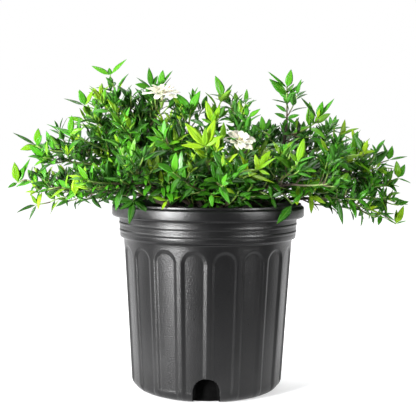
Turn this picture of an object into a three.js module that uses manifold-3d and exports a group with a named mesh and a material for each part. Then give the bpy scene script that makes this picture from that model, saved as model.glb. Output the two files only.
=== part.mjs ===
// A gardenia growing in a moulded nursery pot: the pot, its potting mix, the branching woody
// stems, the leafy shoots and two open flowers. Units are millimetres and +Z is up. The origin
// is the centre of the pot's foot, and -Y is the front.

import * as THREE from 'three';
import { mergeVertices } from 'three/addons/utils/BufferGeometryUtils.js';
import Module from 'manifold-3d';

const wasm = await Module();
wasm.setup();

// ---------------------------------------------------------------- driving dimensions

const DEGREE = Math.PI / 180;
const GAP = 0.3; // between pieces that touch

const POT = {
  height: 270.3,
  lipRadius: 140,
  lipTop: 267.2,
  lipBottom: 252.1,
  lipFootRound: 3,
  lipTopRound: 4,
  rimOuter: 136, // the upstanding ring above the lip
  rimInner: 133,
  ledge: 257, // the step inside the lip
  bandRadius: 129.7,
  bandFoot: 222,
  bandFootRadius: 128.2,
  grooves: [229.8, 240.4],
  grooveHalf: 1.9,
  grooveDepth: 1.1,
  wallTop: 216,
  wallTopRadius: 122.7,
  wallFootRadius: 110.7,
  footRound: 16,
  ribWall: 3.7, // wall thickness at a rib
  bandWall: 2.4, // and at the band
  innerRound: 10,
  floor: 3,
};
const PANEL = {
  count: 18,
  first: -8.75 * DEGREE, // from the front, towards +X
  width: 34,
  footWidth: 30,
  slope: 4, // how far each side slopes in
  depth: 2,
  bow: 1.2, // how far the middle of a panel stands out past its sides
  top: 207.8,
  arcSteps: 5,
};
const NOTCH = { count: 4, width: 36, height: 33, inner: 98, arcSteps: 5 };
const FACETS = 2 * PANEL.count; // round the pot
const CORNER = PANEL.first - Math.PI / PANEL.count - Math.PI / 2; // where the first one starts

const SOIL = {
  edge: 236,
  shoulder: 241,
  crown: 244,
  clearance: 0.5, // from the pot's wall
  hole: 26, // depth of the hole that each trunk stands in
  facets: 18,
  unevenness: 1.6,
};
const TRUNK = { radius: 6.5, topRadius: 4.9, fork: 250, top: 262, sides: 8 };
const BRANCH = { footRadius: 3.8, tipRadius: 1.7, sides: 5, steps: 5 };
const TWIG = { footRadius: 1.5, tipRadius: 0.9, sides: 5, steps: 3, rise: 0.28, bend: 0.62 };
const LEAF = { length: 31, aspect: 0.33, thickness: 0.9, fold: 0.1, curl: 0.16, sunk: 0.3 };

// How leaves stand on a twig. Angles are in degrees, and each pair is a least and a greatest.
const WHORL = {
  count: 2,
  spacing: 19,
  bareFoot: 0.16, // the share of a twig that has no leaves
  stagger: 2.2, // between the leaves at the tip
  leadSpread: [10, 18], // from the twig's own line
  tipSpread: [32, 50],
  sideSpread: [46, 64],
  wander: 24, // round the twig
  size: [0.86, 1.12],
  tipSize: 0.82, // the leaves at the tip are still growing
};
const PETAL = {
  thickness: 1.2,
  aspect: 0.48,
  fold: 0.18,
  count: 6,
  lift: 0.16, // angles in radians from square to the flower's axis
  innerCount: 3,
  innerLift: 0.85,
  innerShare: 0.6, // of an outer petal's length
};
const CALYX = { radius: 3, height: 6, lobes: 5, lobeLength: 9, lobeHalfWidth: 1.1, thickness: 0.9 };
const TUBE = { radius: 1.9, mouth: 9, mouthRadius: 4.2 }; // of a flower, below its petals
const SEED = 20240;

const CLEAR = { spacing: 2.4, reach: 1.9 }; // sample points that keep neighbours apart
const BELOW = 4; // how far cutters reach past the pot's foot

// Woody stems. Each has a trunk at its foot, and branches that leave the trunk, bend at "by" and
// end at "to".
const STEMS = {
  left: {
    foot: [-42, 4],
    branches: {
      high: { by: [-78, -10, 330], to: [-150, -20, 345] },
      low: { by: [-90, 30, 290], to: [-188, 38, 286] },
      upright: { by: [-96, -42, 318], to: [-88, -26, 388] },
    },
  },
  right: {
    foot: [46, 6],
    branches: {
      high: { by: [112, -6, 318], to: [114, 8, 392] },
      out: { by: [110, -24, 312], to: [192, -34, 314] },
      low: { by: [96, 26, 284], to: [184, 14, 274] },
      upright: { by: [52, -24, 300], to: [52, -58, 350] },
    },
  },
  front: {
    foot: [0, -46],
    branches: {
      upright: { by: [-34, -40, 312], to: [-30, -34, 362] },
      low: { by: [4, -96, 296], to: [10, -142, 304] },
      left: { by: [-50, -100, 300], to: [-106, -134, 302] },
      right: { by: [50, -104, 300], to: [110, -130, 302] },
    },
  },
  back: {
    foot: [2, 50],
    branches: {
      left: { by: [-52, 84, 318], to: [-96, 132, 346] },
      right: { by: [56, 84, 318], to: [98, 132, 346] },
    },
  },
};

// Leafy shoots. Each grows from the point "at" of a branch (1 is its end) to its tip. "sag" lowers
// the middle of its twig, and a negative one raises it. "turn" is the turn of its top whorl, and
// a young shoot is yellow-green.
const SHOOTS = {
  left: [
    { branch: 'high', at: 1, tip: [-232, -58, 346], sag: 8, turn: 20 },
    { branch: 'high', at: 0.8, tip: [-222, -108, 334], sag: 6, turn: 70 },
    { branch: 'high', at: 0.9, tip: [-176, -34, 400], sag: -6, turn: 0 },
    { branch: 'high', at: 0.95, tip: [-228, 34, 344], sag: 10, turn: 40 },
    { branch: 'high', at: 0.72, tip: [-188, -92, 366], sag: 0, turn: 10 },
    { branch: 'high', at: 0.82, tip: [-186, 52, 388], sag: 4, turn: 80, young: true },
    { branch: 'low', at: 1, tip: [-266, 2, 300], sag: 8, turn: 50 },
    { branch: 'low', at: 0.9, tip: [-244, 70, 264], sag: -8, turn: 35, young: true },
    { branch: 'low', at: 0.75, tip: [-218, 118, 300], sag: 6, turn: 15 },
    { branch: 'low', at: 0.72, tip: [-208, -46, 292], sag: 6, turn: 60 },
    { branch: 'low', at: 0.6, tip: [-172, 112, 272], sag: -4, turn: 60 },
    { branch: 'upright', at: 1, tip: [-84, -6, 428], sag: 0, turn: 0 },
    { branch: 'upright', at: 0.88, tip: [-144, 8, 444], sag: 6, turn: 25 },
    { branch: 'upright', at: 0.7, tip: [-118, -98, 378], sag: 4, turn: 75 },
  ],
  right: [
    { branch: 'high', at: 1, tip: [114, 10, 440], sag: 0, turn: 30 },
    { branch: 'high', at: 0.85, tip: [152, -48, 388], sag: 5, turn: 10, young: true },
    { branch: 'high', at: 0.8, tip: [186, 50, 380], sag: 8, turn: 50 },
    { branch: 'high', at: 0.7, tip: [196, 0, 370], sag: 8, turn: 0, young: true },
    { branch: 'out', at: 1, tip: [266, -34, 304], sag: 6, turn: 65 },
    { branch: 'out', at: 0.85, tip: [214, -66, 342], sag: 6, turn: 20, young: true },
    { branch: 'out', at: 0.93, tip: [258, 34, 330], sag: 6, turn: 45 },
    { branch: 'out', at: 0.7, tip: [172, -118, 338], sag: 5, turn: 80 },
    { branch: 'low', at: 1, tip: [262, 26, 252], sag: -4, turn: 40 },
    { branch: 'low', at: 0.8, tip: [206, -84, 280], sag: -4, turn: 0 },
    { branch: 'low', at: 0.85, tip: [214, 96, 290], sag: 4, turn: 70 },
    { branch: 'upright', at: 1, tip: [54, -56, 392], sag: 0, turn: 15 },
    { branch: 'upright', at: 0.8, tip: [82, -86, 366], sag: 4, turn: 55 },
  ],
  front: [
    { branch: 'upright', at: 1, tip: [-26, -66, 402], sag: 0, turn: 35 },
    { branch: 'upright', at: 0.9, tip: [20, -22, 422], sag: 8, turn: 5, young: true },
    { branch: 'upright', at: 0.75, tip: [-62, -116, 360], sag: 4, turn: 85 },
    { branch: 'low', at: 1, tip: [16, -202, 310], sag: 5, turn: 25 },
    { branch: 'low', at: 0.8, tip: [-4, -168, 350], sag: 6, turn: 65, young: true },
    { branch: 'low', at: 0.9, tip: [62, -190, 322], sag: 5, turn: 45, young: true },
    { branch: 'low', at: 0.7, tip: [-44, -192, 318], sag: 5, turn: 0 },
    { branch: 'left', at: 1, tip: [-156, -166, 306], sag: 4, turn: 50 },
    { branch: 'left', at: 0.9, tip: [-98, -180, 336], sag: 5, turn: 10 },
    { branch: 'left', at: 0.8, tip: [-176, -120, 292], sag: 4, turn: 75 },
    { branch: 'right', at: 1, tip: [160, -158, 306], sag: 4, turn: 30 },
    { branch: 'right', at: 0.9, tip: [112, -184, 332], sag: 5, turn: 60 },
  ],
  back: [
    { branch: 'left', at: 1, tip: [-140, 182, 370], sag: 5, turn: 10 },
    { branch: 'left', at: 0.88, tip: [-58, 188, 394], sag: 5, turn: 40 },
    { branch: 'left', at: 0.76, tip: [-92, 92, 414], sag: 5, turn: 70, young: true },
    { branch: 'left', at: 0.9, tip: [-112, 210, 318], sag: 5, turn: 25 },
    { branch: 'left', at: 0.6, tip: [-26, 190, 322], sag: 5, turn: 55 },
    { branch: 'right', at: 1, tip: [142, 178, 366], sag: 5, turn: 80 },
    { branch: 'right', at: 0.88, tip: [46, 172, 404], sag: 5, turn: 20, young: true },
    { branch: 'right', at: 0.7, tip: [56, 84, 418], sag: 5, turn: 50 },
    { branch: 'right', at: 0.93, tip: [186, 132, 326], sag: 5, turn: 5, young: true },
    { branch: 'right', at: 0.8, tip: [84, 214, 326], sag: 5, turn: 35 },
  ],
};

// Flowering shoots end in a calyx that carries a flower, whose axis points along "facing".
const BLOOMS = [
  {
    stem: 'left', branch: 'upright', at: 0.93, neck: [-66, -56, 408], sag: 2, turn: 45,
    facing: [0.02, -0.42, 0.9], span: 52, reflex: 0.1,
  },
  {
    stem: 'front', branch: 'low', at: 0.6, neck: [36, -136, 344], sag: 4, turn: 15,
    facing: [0.45, -0.5, 0.74], span: 42, reflex: 0.55,
  },
];

// ---------------------------------------------------------------- materials

function material(name, color, roughness) {
  const made = new THREE.MeshStandardMaterial({ color, roughness, metalness: 0 });
  made.name = name;
  return made;
}

const MATERIALS = {
  pot: () => material('pot_plastic', 0x373838, 0.42),
  soil: () => material('potting_mix', 0x2a211a, 0.95),
  bark: () => material('bark', 0x4f3a28, 0.8),
  leaf: () => material('leaf', 0x4a7d2a, 0.35),
  youngLeaf: () => material('young_leaf', 0x86b53a, 0.38),
  petal: () => material('petal', 0xf4f3ea, 0.55),
};

// ---------------------------------------------------------------- solids

// A geometry as a manifold solid, with its vertices merged and its flat faces dropped.
function toSolid(geometry) {
  const bare = new THREE.BufferGeometry();
  bare.setAttribute('position', geometry.getAttribute('position'));
  bare.setIndex(geometry.index);
  const merged = mergeVertices(bare, 1e-4);
  const index = [];
  for (let i = 0; i < merged.index.count; i += 3) {
    const [a, b, c] = merged.index.array.slice(i, i + 3);
    if (a !== b && b !== c && c !== a) index.push(a, b, c);
  }
  return new wasm.Manifold(new wasm.Mesh({
    numProp: 3,
    vertProperties: new Float32Array(merged.attributes.position.array),
    triVerts: new Uint32Array(index),
  }));
}

function toMesh(name, solid, material) {
  const made = solid.getMesh();
  const geometry = new THREE.BufferGeometry();
  geometry.setAttribute('position', new THREE.BufferAttribute(made.vertProperties, 3));
  geometry.setIndex(new THREE.BufferAttribute(made.triVerts, 1));
  const flat = geometry.toNonIndexed();
  flat.computeVertexNormals();
  const mesh = new THREE.Mesh(flat, material);
  mesh.name = name;
  return mesh;
}

function joined(solids) {
  return solids.reduce((all, next) => all.add(next));
}

// A closed skin through sections, which are loops of equally many points, or single points at an
// end. Each loop turns anticlockwise as seen from the last section.
function loft(sections) {
  const positions = sections.flat().flatMap((p) => p.toArray());
  const starts = [];
  let count = 0;
  for (const section of sections) {
    starts.push(count);
    count += section.length;
  }
  const index = [];
  const cap = (section, start, reversed) => {
    for (let i = 1; i + 1 < section.length; i += 1) {
      const face = [start, start + i, start + i + 1];
      index.push(...(reversed ? face.reverse() : face));
    }
  };
  for (let s = 0; s + 1 < sections.length; s += 1) {
    const around = Math.max(sections[s].length, sections[s + 1].length);
    const low = (i) => starts[s] + (i % sections[s].length);
    const high = (i) => starts[s + 1] + (i % sections[s + 1].length);
    for (let i = 0; i < around; i += 1) {
      if (sections[s].length > 1) index.push(low(i), low(i + 1), high(i));
      if (sections[s + 1].length > 1) index.push(low(i + 1), high(i + 1), high(i));
    }
  }
  cap(sections[0], starts[0], true);
  cap(sections.at(-1), starts.at(-1), false);
  const geometry = new THREE.BufferGeometry();
  geometry.setAttribute('position', new THREE.Float32BufferAttribute(positions, 3));
  geometry.setIndex(index);
  return geometry;
}

// A profile of [radius, height] points turned round the Z axis, with a corner at "first".
function turned(profile, facets, first) {
  const points = profile.map(([radius, height]) => new THREE.Vector2(radius, height));
  const geometry = new THREE.LatheGeometry(points, facets);
  geometry.rotateX(Math.PI / 2);
  geometry.rotateZ(first);
  return geometry;
}

// A tube that tapers evenly along a curve.
function taperedTube(curve, steps, sides, footRadius, tipRadius) {
  const frames = curve.computeFrenetFrames(steps, false);
  const sections = [];
  for (let s = 0; s <= steps; s += 1) {
    const centre = curve.getPoint(s / steps);
    const radius = THREE.MathUtils.lerp(footRadius, tipRadius, s / steps);
    const ring = [];
    for (let i = 0; i < sides; i += 1) {
      const angle = (2 * Math.PI * i) / sides;
      ring.push(centre.clone()
        .addScaledVector(frames.normals[s], radius * Math.cos(angle))
        .addScaledVector(frames.binormals[s], radius * Math.sin(angle)));
    }
    sections.push(ring);
  }
  return loft(sections);
}

// ---------------------------------------------------------------- the pot

function wallRadius(z) {
  const share = (z - POT.footRound) / (POT.wallTop - POT.footRound);
  return THREE.MathUtils.lerp(POT.wallFootRadius, POT.wallTopRadius, share);
}

function bandRadius(z) {
  const share = (z - POT.bandFoot) / (POT.lipBottom - POT.bandFoot);
  return THREE.MathUtils.lerp(POT.bandFootRadius, POT.bandRadius, share);
}

// The foot and wall outline, moved in by "inset".
function wallOutline(inset) {
  const flat = POT.wallFootRadius - POT.footRound;
  const corner = flat + (POT.footRound - inset) * Math.SQRT1_2;
  return [
    [flat - inset / 2, 0],
    [corner, POT.footRound - (POT.footRound - inset) * Math.SQRT1_2],
    [POT.wallFootRadius - inset, POT.footRound],
    [POT.wallTopRadius - inset, POT.wallTop],
  ];
}

function potOutline() {
  const grooves = POT.grooves.flatMap((z) => [
    [bandRadius(z - POT.grooveHalf), z - POT.grooveHalf],
    [bandRadius(z) - POT.grooveDepth, z],
    [bandRadius(z + POT.grooveHalf), z + POT.grooveHalf],
  ]);
  return [
    [0, 0],
    ...wallOutline(0),
    [POT.bandFootRadius, POT.bandFoot],
    ...grooves,
    [POT.bandRadius, POT.lipBottom],
    [POT.lipRadius - POT.lipFootRound, POT.lipBottom],
    [POT.lipRadius, POT.lipBottom + POT.lipFootRound],
    [POT.lipRadius, POT.lipTop - POT.lipTopRound],
    [POT.lipRadius - POT.lipTopRound, POT.lipTop],
    [POT.rimOuter, POT.height],
    [POT.rimInner, POT.height],
    [POT.rimInner, POT.ledge],
    ...cavityOutline(0).reverse(),
  ];
}

// The inside of the pot from its floor up to the ledge, moved in by "inset".
function cavityOutline(inset) {
  const foot = POT.wallFootRadius - POT.ribWall - inset;
  return [
    [0, POT.floor + inset],
    [foot - POT.innerRound, POT.floor + inset],
    [foot - POT.innerRound * 0.3, POT.floor + POT.innerRound * 0.2 + inset],
    [foot, POT.floor + POT.innerRound * 1.5],
    [POT.wallTopRadius - POT.ribWall - inset, POT.wallTop - 2],
    [POT.bandFootRadius - POT.bandWall - inset, POT.bandFoot],
    [POT.bandRadius - POT.bandWall - inset, POT.ledge - 1.5],
  ];
}

// An arched outline in a plane that faces "azimuth": each of its points is at a height and at a
// distance out along the plane's facing, which "away" gives for that height.
function archPoints(arch, azimuth, halfWidth, away) {
  const out = new THREE.Vector3(Math.sin(azimuth), -Math.cos(azimuth), 0);
  const side = new THREE.Vector3(Math.cos(azimuth), Math.sin(azimuth), 0);
  const point = (across, z) => out.clone().multiplyScalar(away(z))
    .addScaledVector(side, across).add(new THREE.Vector3(0, 0, z));
  const spring = arch.top - arch.topHalf;
  const points = [point(-halfWidth(arch.foot), arch.foot), point(halfWidth(arch.foot), arch.foot)];
  for (let i = 0; i <= arch.arcSteps; i += 1) {
    const angle = (Math.PI * i) / arch.arcSteps;
    const radius = halfWidth(spring);
    points.push(point(radius * Math.cos(angle), spring + radius * Math.sin(angle)));
  }
  return points;
}

function panelCutter(azimuth) {
  const arch = {
    foot: -BELOW, top: PANEL.top, topHalf: PANEL.width / 2, arcSteps: PANEL.arcSteps,
  };
  const slopePerDepth = PANEL.slope / PANEL.depth;
  const section = (depth) => {
    const half = (z) => {
      const share = THREE.MathUtils.clamp(z / PANEL.top, 0, 1);
      const outer = THREE.MathUtils.lerp(PANEL.footWidth, PANEL.width, share) / 2;
      return outer - slopePerDepth * (depth - PANEL.bow);
    };
    return archPoints(arch, azimuth, half, (z) => wallRadius(z) - depth);
  };
  return toSolid(loft([section(2 * PANEL.depth), section(-PANEL.bow)]));
}

function notchCutter(azimuth) {
  const half = NOTCH.width / 2;
  const arch = { foot: -BELOW, top: NOTCH.height, topHalf: half, arcSteps: NOTCH.arcSteps };
  const section = (radius) => archPoints(arch, azimuth, () => half, () => radius);
  return toSolid(loft([section(NOTCH.inner), section(POT.lipRadius)]));
}

function potSolid() {
  const body = toSolid(turned(potOutline(), FACETS, CORNER));
  // The panels are cut down to this core.
  const core = [
    [0, -2 * BELOW],
    [POT.wallFootRadius - POT.footRound - PANEL.depth, -2 * BELOW],
    ...wallOutline(PANEL.depth),
    [POT.wallTopRadius - PANEL.depth, POT.height],
    [0, POT.height],
  ];
  const panels = joined(Array.from({ length: PANEL.count }, (_, i) => (
    panelCutter(PANEL.first + (2 * Math.PI * i) / PANEL.count))));
  const notches = joined(Array.from({ length: NOTCH.count }, (_, i) => (
    notchCutter((2 * Math.PI * i) / NOTCH.count))));
  return body.subtract(panels.subtract(toSolid(turned(core, FACETS, CORNER)))).subtract(notches);
}

// ---------------------------------------------------------------- the potting mix

function soilSolid() {
  const outline = cavityOutline(SOIL.clearance).slice(0, -1);
  const edge = POT.bandFootRadius - POT.bandWall - SOIL.clearance;
  const profile = [
    ...outline,
    [edge, SOIL.edge],
    [edge * 0.72, SOIL.shoulder],
    [edge * 0.36, SOIL.crown],
    [0, SOIL.crown],
  ];
  const geometry = turned(profile, SOIL.facets, CORNER);
  const position = geometry.getAttribute('position');
  for (let i = 0; i < position.count; i += 1) {
    const [x, y, z] = [position.getX(i), position.getY(i), position.getZ(i)];
    const wave = Math.sin(x / 13) * Math.cos(y / 11);
    if (z > SOIL.edge + 1 && Math.hypot(x, y) > 1) position.setZ(i, z + SOIL.unevenness * wave);
  }
  const holes = Object.values(STEMS).map(({ foot }) => {
    const radius = TRUNK.radius + GAP;
    const bottom = SOIL.crown - SOIL.hole;
    const hole = new THREE.CylinderGeometry(radius, radius, 3 * SOIL.hole, TRUNK.sides);
    hole.rotateX(Math.PI / 2);
    hole.translate(foot[0], foot[1], bottom + 1.5 * SOIL.hole);
    return toSolid(hole);
  });
  return toSolid(geometry).subtract(joined(holes));
}

// ---------------------------------------------------------------- woody stems

function branchCurve(stem, branch) {
  const start = new THREE.Vector3(...stem.foot, TRUNK.fork);
  return new THREE.QuadraticBezierCurve3(start, new THREE.Vector3(...branch.by),
    new THREE.Vector3(...branch.to));
}

// A point on the axis of a branch's tube, which runs straight from step to step.
function branchAxis(curve, at) {
  const step = Math.min(Math.floor(at * BRANCH.steps), BRANCH.steps - 1);
  const from = curve.getPoint(step / BRANCH.steps);
  return from.lerp(curve.getPoint((step + 1) / BRANCH.steps), at * BRANCH.steps - step);
}

function branchRadius(at) {
  return THREE.MathUtils.lerp(BRANCH.footRadius, BRANCH.tipRadius, at);
}

function stemSolid(stem) {
  const bottom = SOIL.crown - SOIL.hole + GAP;
  const trunk = new THREE.CylinderGeometry(TRUNK.topRadius, TRUNK.radius, TRUNK.top - bottom,
    TRUNK.sides);
  trunk.rotateX(Math.PI / 2);
  trunk.translate(stem.foot[0], stem.foot[1], (TRUNK.top + bottom) / 2);
  const branches = Object.values(stem.branches).map((branch) => toSolid(taperedTube(
    branchCurve(stem, branch), BRANCH.steps, BRANCH.sides, BRANCH.footRadius, BRANCH.tipRadius)));
  return joined([toSolid(trunk), ...branches]);
}

// ---------------------------------------------------------------- clear of its neighbours

// Points on the pieces placed so far. Two pieces are clear of each other where every pair of
// their points is further apart than the sum of the points' reaches.
class Crowd {
  constructor(cell) {
    this.cell = cell;
    this.cells = new Map();
  }

  key(i, j, k) {
    return (i * 4096 + j) * 4096 + k;
  }

  add(points, owner) {
    for (const { at, reach } of points) {
      const [i, j, k] = at.toArray().map((v) => Math.floor(v / this.cell));
      const key = this.key(i, j, k);
      if (!this.cells.has(key)) this.cells.set(key, []);
      this.cells.get(key).push({ at, reach, owner });
    }
  }

  // The owner of the first piece that the points come too near, or null.
  meets(points, ignored) {
    for (const { at, reach } of points) {
      const [i, j, k] = at.toArray().map((v) => Math.floor(v / this.cell));
      for (let di = -1; di <= 1; di += 1) {
        for (let dj = -1; dj <= 1; dj += 1) {
          for (let dk = -1; dk <= 1; dk += 1) {
            for (const near of this.cells.get(this.key(i + di, j + dj, k + dk)) ?? []) {
              if (ignored.includes(near.owner)) continue;
              if (near.at.distanceTo(at) < near.reach + reach) return near.owner;
            }
          }
        }
      }
    }
    return null;
  }
}

// Whether the points keep off the pot's wall and the soil.
function clearOfPot(points) {
  return points.every(({ at, reach }) => {
    const radius = Math.hypot(at.x, at.y);
    if (at.z > POT.height + reach) return true;
    if (radius > POT.lipRadius + reach) return true;
    return radius < POT.bandFootRadius - POT.bandWall - reach && at.z > SOIL.crown + reach;
  });
}

function tubePoints(curve, footRadius, tipRadius, from = 0) {
  const steps = Math.ceil(curve.getLength() / CLEAR.spacing);
  const points = [];
  for (let s = Math.ceil(from * steps); s <= steps; s += 1) {
    const radius = THREE.MathUtils.lerp(footRadius, tipRadius, s / steps);
    points.push({ at: curve.getPoint(s / steps), reach: Math.hypot(radius, CLEAR.spacing / 2) + 0.2 });
  }
  return points;
}

// ---------------------------------------------------------------- leaves

// Outlines from the root to the tip, as [share of the length, share of the half width]. A leaf's
// root is sunk in its twig, and a leaf is widest before its middle.
const LEAF_OUTLINE = [[-0.015, 0.12], [0.4, 1], [0.74, 0.6], [1, 0]];
const PETAL_OUTLINE = [[0, 0.3], [0.36, 0.6], [0.72, 1], [1, 0.34]];
const LOBE_OUTLINE = [[0, 0.7], [0.4, 1], [1, 0]];

// An even stream of random numbers from 0 to 1.
function randomStream(seed) {
  let state = seed >>> 0;
  return () => {
    state = (state + 0x6d2b79f5) >>> 0;
    let t = state;
    t = Math.imul(t ^ (t >>> 15), t | 1);
    t ^= t + Math.imul(t ^ (t >>> 7), t | 61);
    return ((t ^ (t >>> 14)) >>> 0) / 4294967296;
  };
}

// A point of a blade that runs from "root" along "along", with its upper side facing "up". It
// curls back along its length, and its halves fold up from the midrib.
function bladePoint(blade, share, across) {
  const { root, along, up, side, length, halfWidth, curl, fold } = blade;
  return root.clone()
    .addScaledVector(along, share * length)
    .addScaledVector(up, (fold * Math.abs(across) - curl * share * share * (length / halfWidth))
      * halfWidth)
    .addScaledVector(side, across * halfWidth);
}

function bladeSections(blade, outline, thickness) {
  return outline.map(([share, half]) => {
    if (half === 0) return [bladePoint(blade, share, 0)];
    const left = bladePoint(blade, share, half);
    const right = bladePoint(blade, share, -half);
    const keel = bladePoint(blade, share, 0).addScaledVector(blade.up, -thickness);
    return [right, left, keel];
  });
}

function bladeSolid(blade, outline, thickness) {
  return toSolid(loft(bladeSections(blade, outline, thickness)));
}

// A three-sided twig that runs on into the leaf at its tip, as one skin.
function leadingTwigSolid(curve, blade) {
  const sections = [];
  for (let s = 0; s <= TWIG.steps; s += 1) {
    const share = s / TWIG.steps;
    const along = curve.getTangent(share);
    const side = blade.side.clone().addScaledVector(along, -blade.side.dot(along)).normalize();
    const up = new THREE.Vector3().crossVectors(side, along);
    const radius = THREE.MathUtils.lerp(TWIG.footRadius, TWIG.tipRadius, share);
    const corner = (across, rise) => curve.getPoint(share)
      .addScaledVector(side, across * radius).addScaledVector(up, rise * radius);
    sections.push([corner(-0.87, 0.5), corner(0.87, 0.5), corner(0, -1)]);
  }
  return toSolid(loft([...sections, ...bladeSections(blade, LEAF_OUTLINE.slice(1),
    LEAF.thickness)]));
}

function bladePoints(blade, outline, from = 0) {
  const points = [];
  const steps = Math.ceil(blade.length / CLEAR.spacing);
  for (let s = 0; s <= steps; s += 1) {
    const share = s / steps;
    if (share < from) continue;
    const next = outline.findIndex(([at]) => at >= share && at > 0);
    const [a, halfA] = outline[next - 1];
    const [b, halfB] = outline[next];
    const half = THREE.MathUtils.lerp(halfA, halfB, (share - a) / (b - a));
    for (const across of [-1, -0.5, 0, 0.5, 1]) {
      points.push({ at: bladePoint(blade, share, across * half), reach: CLEAR.reach });
    }
  }
  return points;
}

function makeBlade(root, along, upHint, length, halfWidth, curl, fold) {
  const side = new THREE.Vector3().crossVectors(along, upHint).normalize();
  const up = new THREE.Vector3().crossVectors(side, along).normalize();
  return { root, along, up, side, length, halfWidth, curl, fold };
}

// The leaves of a twig, by whorl: three at its tip, of which the first leads on from the twig,
// then crossed pairs.
function leafRule(curve, random, turn) {
  const length = curve.getLength();
  const between = ([least, greatest]) => THREE.MathUtils.lerp(least, greatest, random());
  const leaves = [];
  for (let whorl = 0; whorl < WHORL.count; whorl += 1) {
    const share = 1 - (whorl * WHORL.spacing) / length;
    if (share < WHORL.bareFoot) break;
    const axis = curve.getTangentAt(share);
    const atTip = whorl === 0;
    const count = atTip ? 3 : 2;
    for (let i = 0; i < count; i += 1) {
      const root = curve.getPointAt(share - (atTip ? WHORL.stagger * i : 0) / length);
      const leads = atTip && i === 0;
      const outer = atTip ? WHORL.tipSpread : WHORL.sideSpread;
      const spread = between(leads ? WHORL.leadSpread : outer);
      const around = turn + 90 * whorl + (360 * i) / count + WHORL.wander * (random() - 0.5);
      const size = (atTip ? WHORL.tipSize : 1) * between(WHORL.size);
      leaves.push({ root, axis, whorl, leads, spread, around, size });
    }
  }
  return leaves;
}

function leafBlade(leaf, aroundBy, spreadBy, sizeBy) {
  const across = new THREE.Vector3().crossVectors(leaf.axis, new THREE.Vector3(0, 0, 1));
  if (across.length() < 0.05) across.set(1, 0, 0);
  across.normalize();
  const around = (leaf.around + aroundBy) * DEGREE;
  const spread = leaf.spread * spreadBy * DEGREE;
  const radial = across.applyAxisAngle(leaf.axis, around);
  const along = leaf.axis.clone().multiplyScalar(Math.cos(spread))
    .addScaledVector(radial, Math.sin(spread)).normalize();
  const upHint = leaf.axis.clone().add(new THREE.Vector3(0, 0, 0.8)).addScaledVector(radial, -0.3);
  const length = LEAF.length * leaf.size * sizeBy;
  const root = leaf.root.clone().addScaledVector(radial, leaf.leads ? 0 : LEAF.sunk);
  return makeBlade(root, along, upHint, length, (length * LEAF.aspect) / 2, LEAF.curl,
    LEAF.fold);
}

// How far a leaf may turn, in degrees, and by what factors it may open and shorten, to stay
// clear of its neighbours.
const BENDS = [[0, 1, 1], [22, 1, 1], [-22, 1, 1], [0, 0.7, 1], [0, 1.3, 1], [44, 1, 0.95],
  [-44, 1, 0.95], [0, 0.6, 0.82], [22, 1.25, 0.82], [-22, 1.25, 0.82]];

// ---------------------------------------------------------------- shoots

function twigCurve(stem, shoot, tip) {
  const branch = branchCurve(stem, stem.branches[shoot.branch]);
  const foot = branchAxis(branch, shoot.at);
  const along = branch.getTangent(shoot.at);
  const away = new THREE.Vector3().subVectors(tip, foot);
  const out = along.clone();
  if (shoot.at < 1) out.copy(away).addScaledVector(along, -away.dot(along)).normalize();
  const offset = shoot.at < 1 ? branchRadius(shoot.at) + GAP : GAP;
  const start = foot.clone().addScaledVector(out, offset);
  const reach = away.length();
  const lift = new THREE.Vector3(0, 0, -shoot.sag);
  const knee = start.clone().addScaledVector(out, reach * TWIG.rise).addScaledVector(lift, 0.4);
  const bend = start.clone().lerp(tip, TWIG.bend).add(lift);
  return new THREE.CubicBezierCurve3(start, knee, bend, tip);
}

function calyxSolids(neck, facing) {
  const turn = new THREE.Quaternion().setFromUnitVectors(new THREE.Vector3(0, 0, 1), facing);
  const { radius, height } = CALYX;
  const cup = turned([[0, -4], [radius / 2, -4], [radius, height / 2], [radius, height],
    [0, height]], 6, 0);
  const lobes = Array.from({ length: CALYX.lobes }, (_, i) => {
    const angle = (2 * Math.PI * i) / CALYX.lobes;
    const out = new THREE.Vector3(Math.cos(angle), Math.sin(angle), 0);
    const along = out.clone().multiplyScalar(0.8).add(new THREE.Vector3(0, 0, 1)).normalize();
    const root = out.clone().multiplyScalar(radius * 0.65);
    root.z = height * 0.6;
    const lobe = makeBlade(root, along, new THREE.Vector3(0, 0, 1), CALYX.lobeLength,
      CALYX.lobeHalfWidth, 0, 0);
    return bladeSolid(lobe, LOBE_OUTLINE, CALYX.thickness);
  });
  return [toSolid(cup), ...lobes].map((solid) => place(solid, turn, neck));
}

// A solid turned and moved, by way of its mesh.
function place(solid, turn, move) {
  const made = solid.getMesh();
  const geometry = new THREE.BufferGeometry();
  geometry.setAttribute('position', new THREE.BufferAttribute(made.vertProperties, 3));
  geometry.setIndex(new THREE.BufferAttribute(made.triVerts, 1));
  geometry.applyQuaternion(turn);
  geometry.translate(move.x, move.y, move.z);
  return toSolid(geometry);
}

// Every shoot with its own name, curve and leaf rule.
function plannedShoots() {
  const planned = [];
  for (const [stemName, shoots] of Object.entries(SHOOTS)) {
    shoots.forEach((shoot, i) => {
      const number = String(i + 1).padStart(2, '0');
      planned.push({ ...shoot, stem: stemName, name: `shoot_${stemName}_${number}` });
    });
  }
  BLOOMS.forEach((bloom, i) => {
    planned.push({ ...bloom, tip: bloom.neck, name: `flower_shoot_${i + 1}` });
  });
  planned.forEach((shoot, i) => {
    shoot.random = randomStream(SEED + 97 * i);
    shoot.curve = twigCurve(STEMS[shoot.stem], shoot, new THREE.Vector3(...shoot.tip));
  });
  return planned;
}

// ---------------------------------------------------------------- flowers

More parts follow.
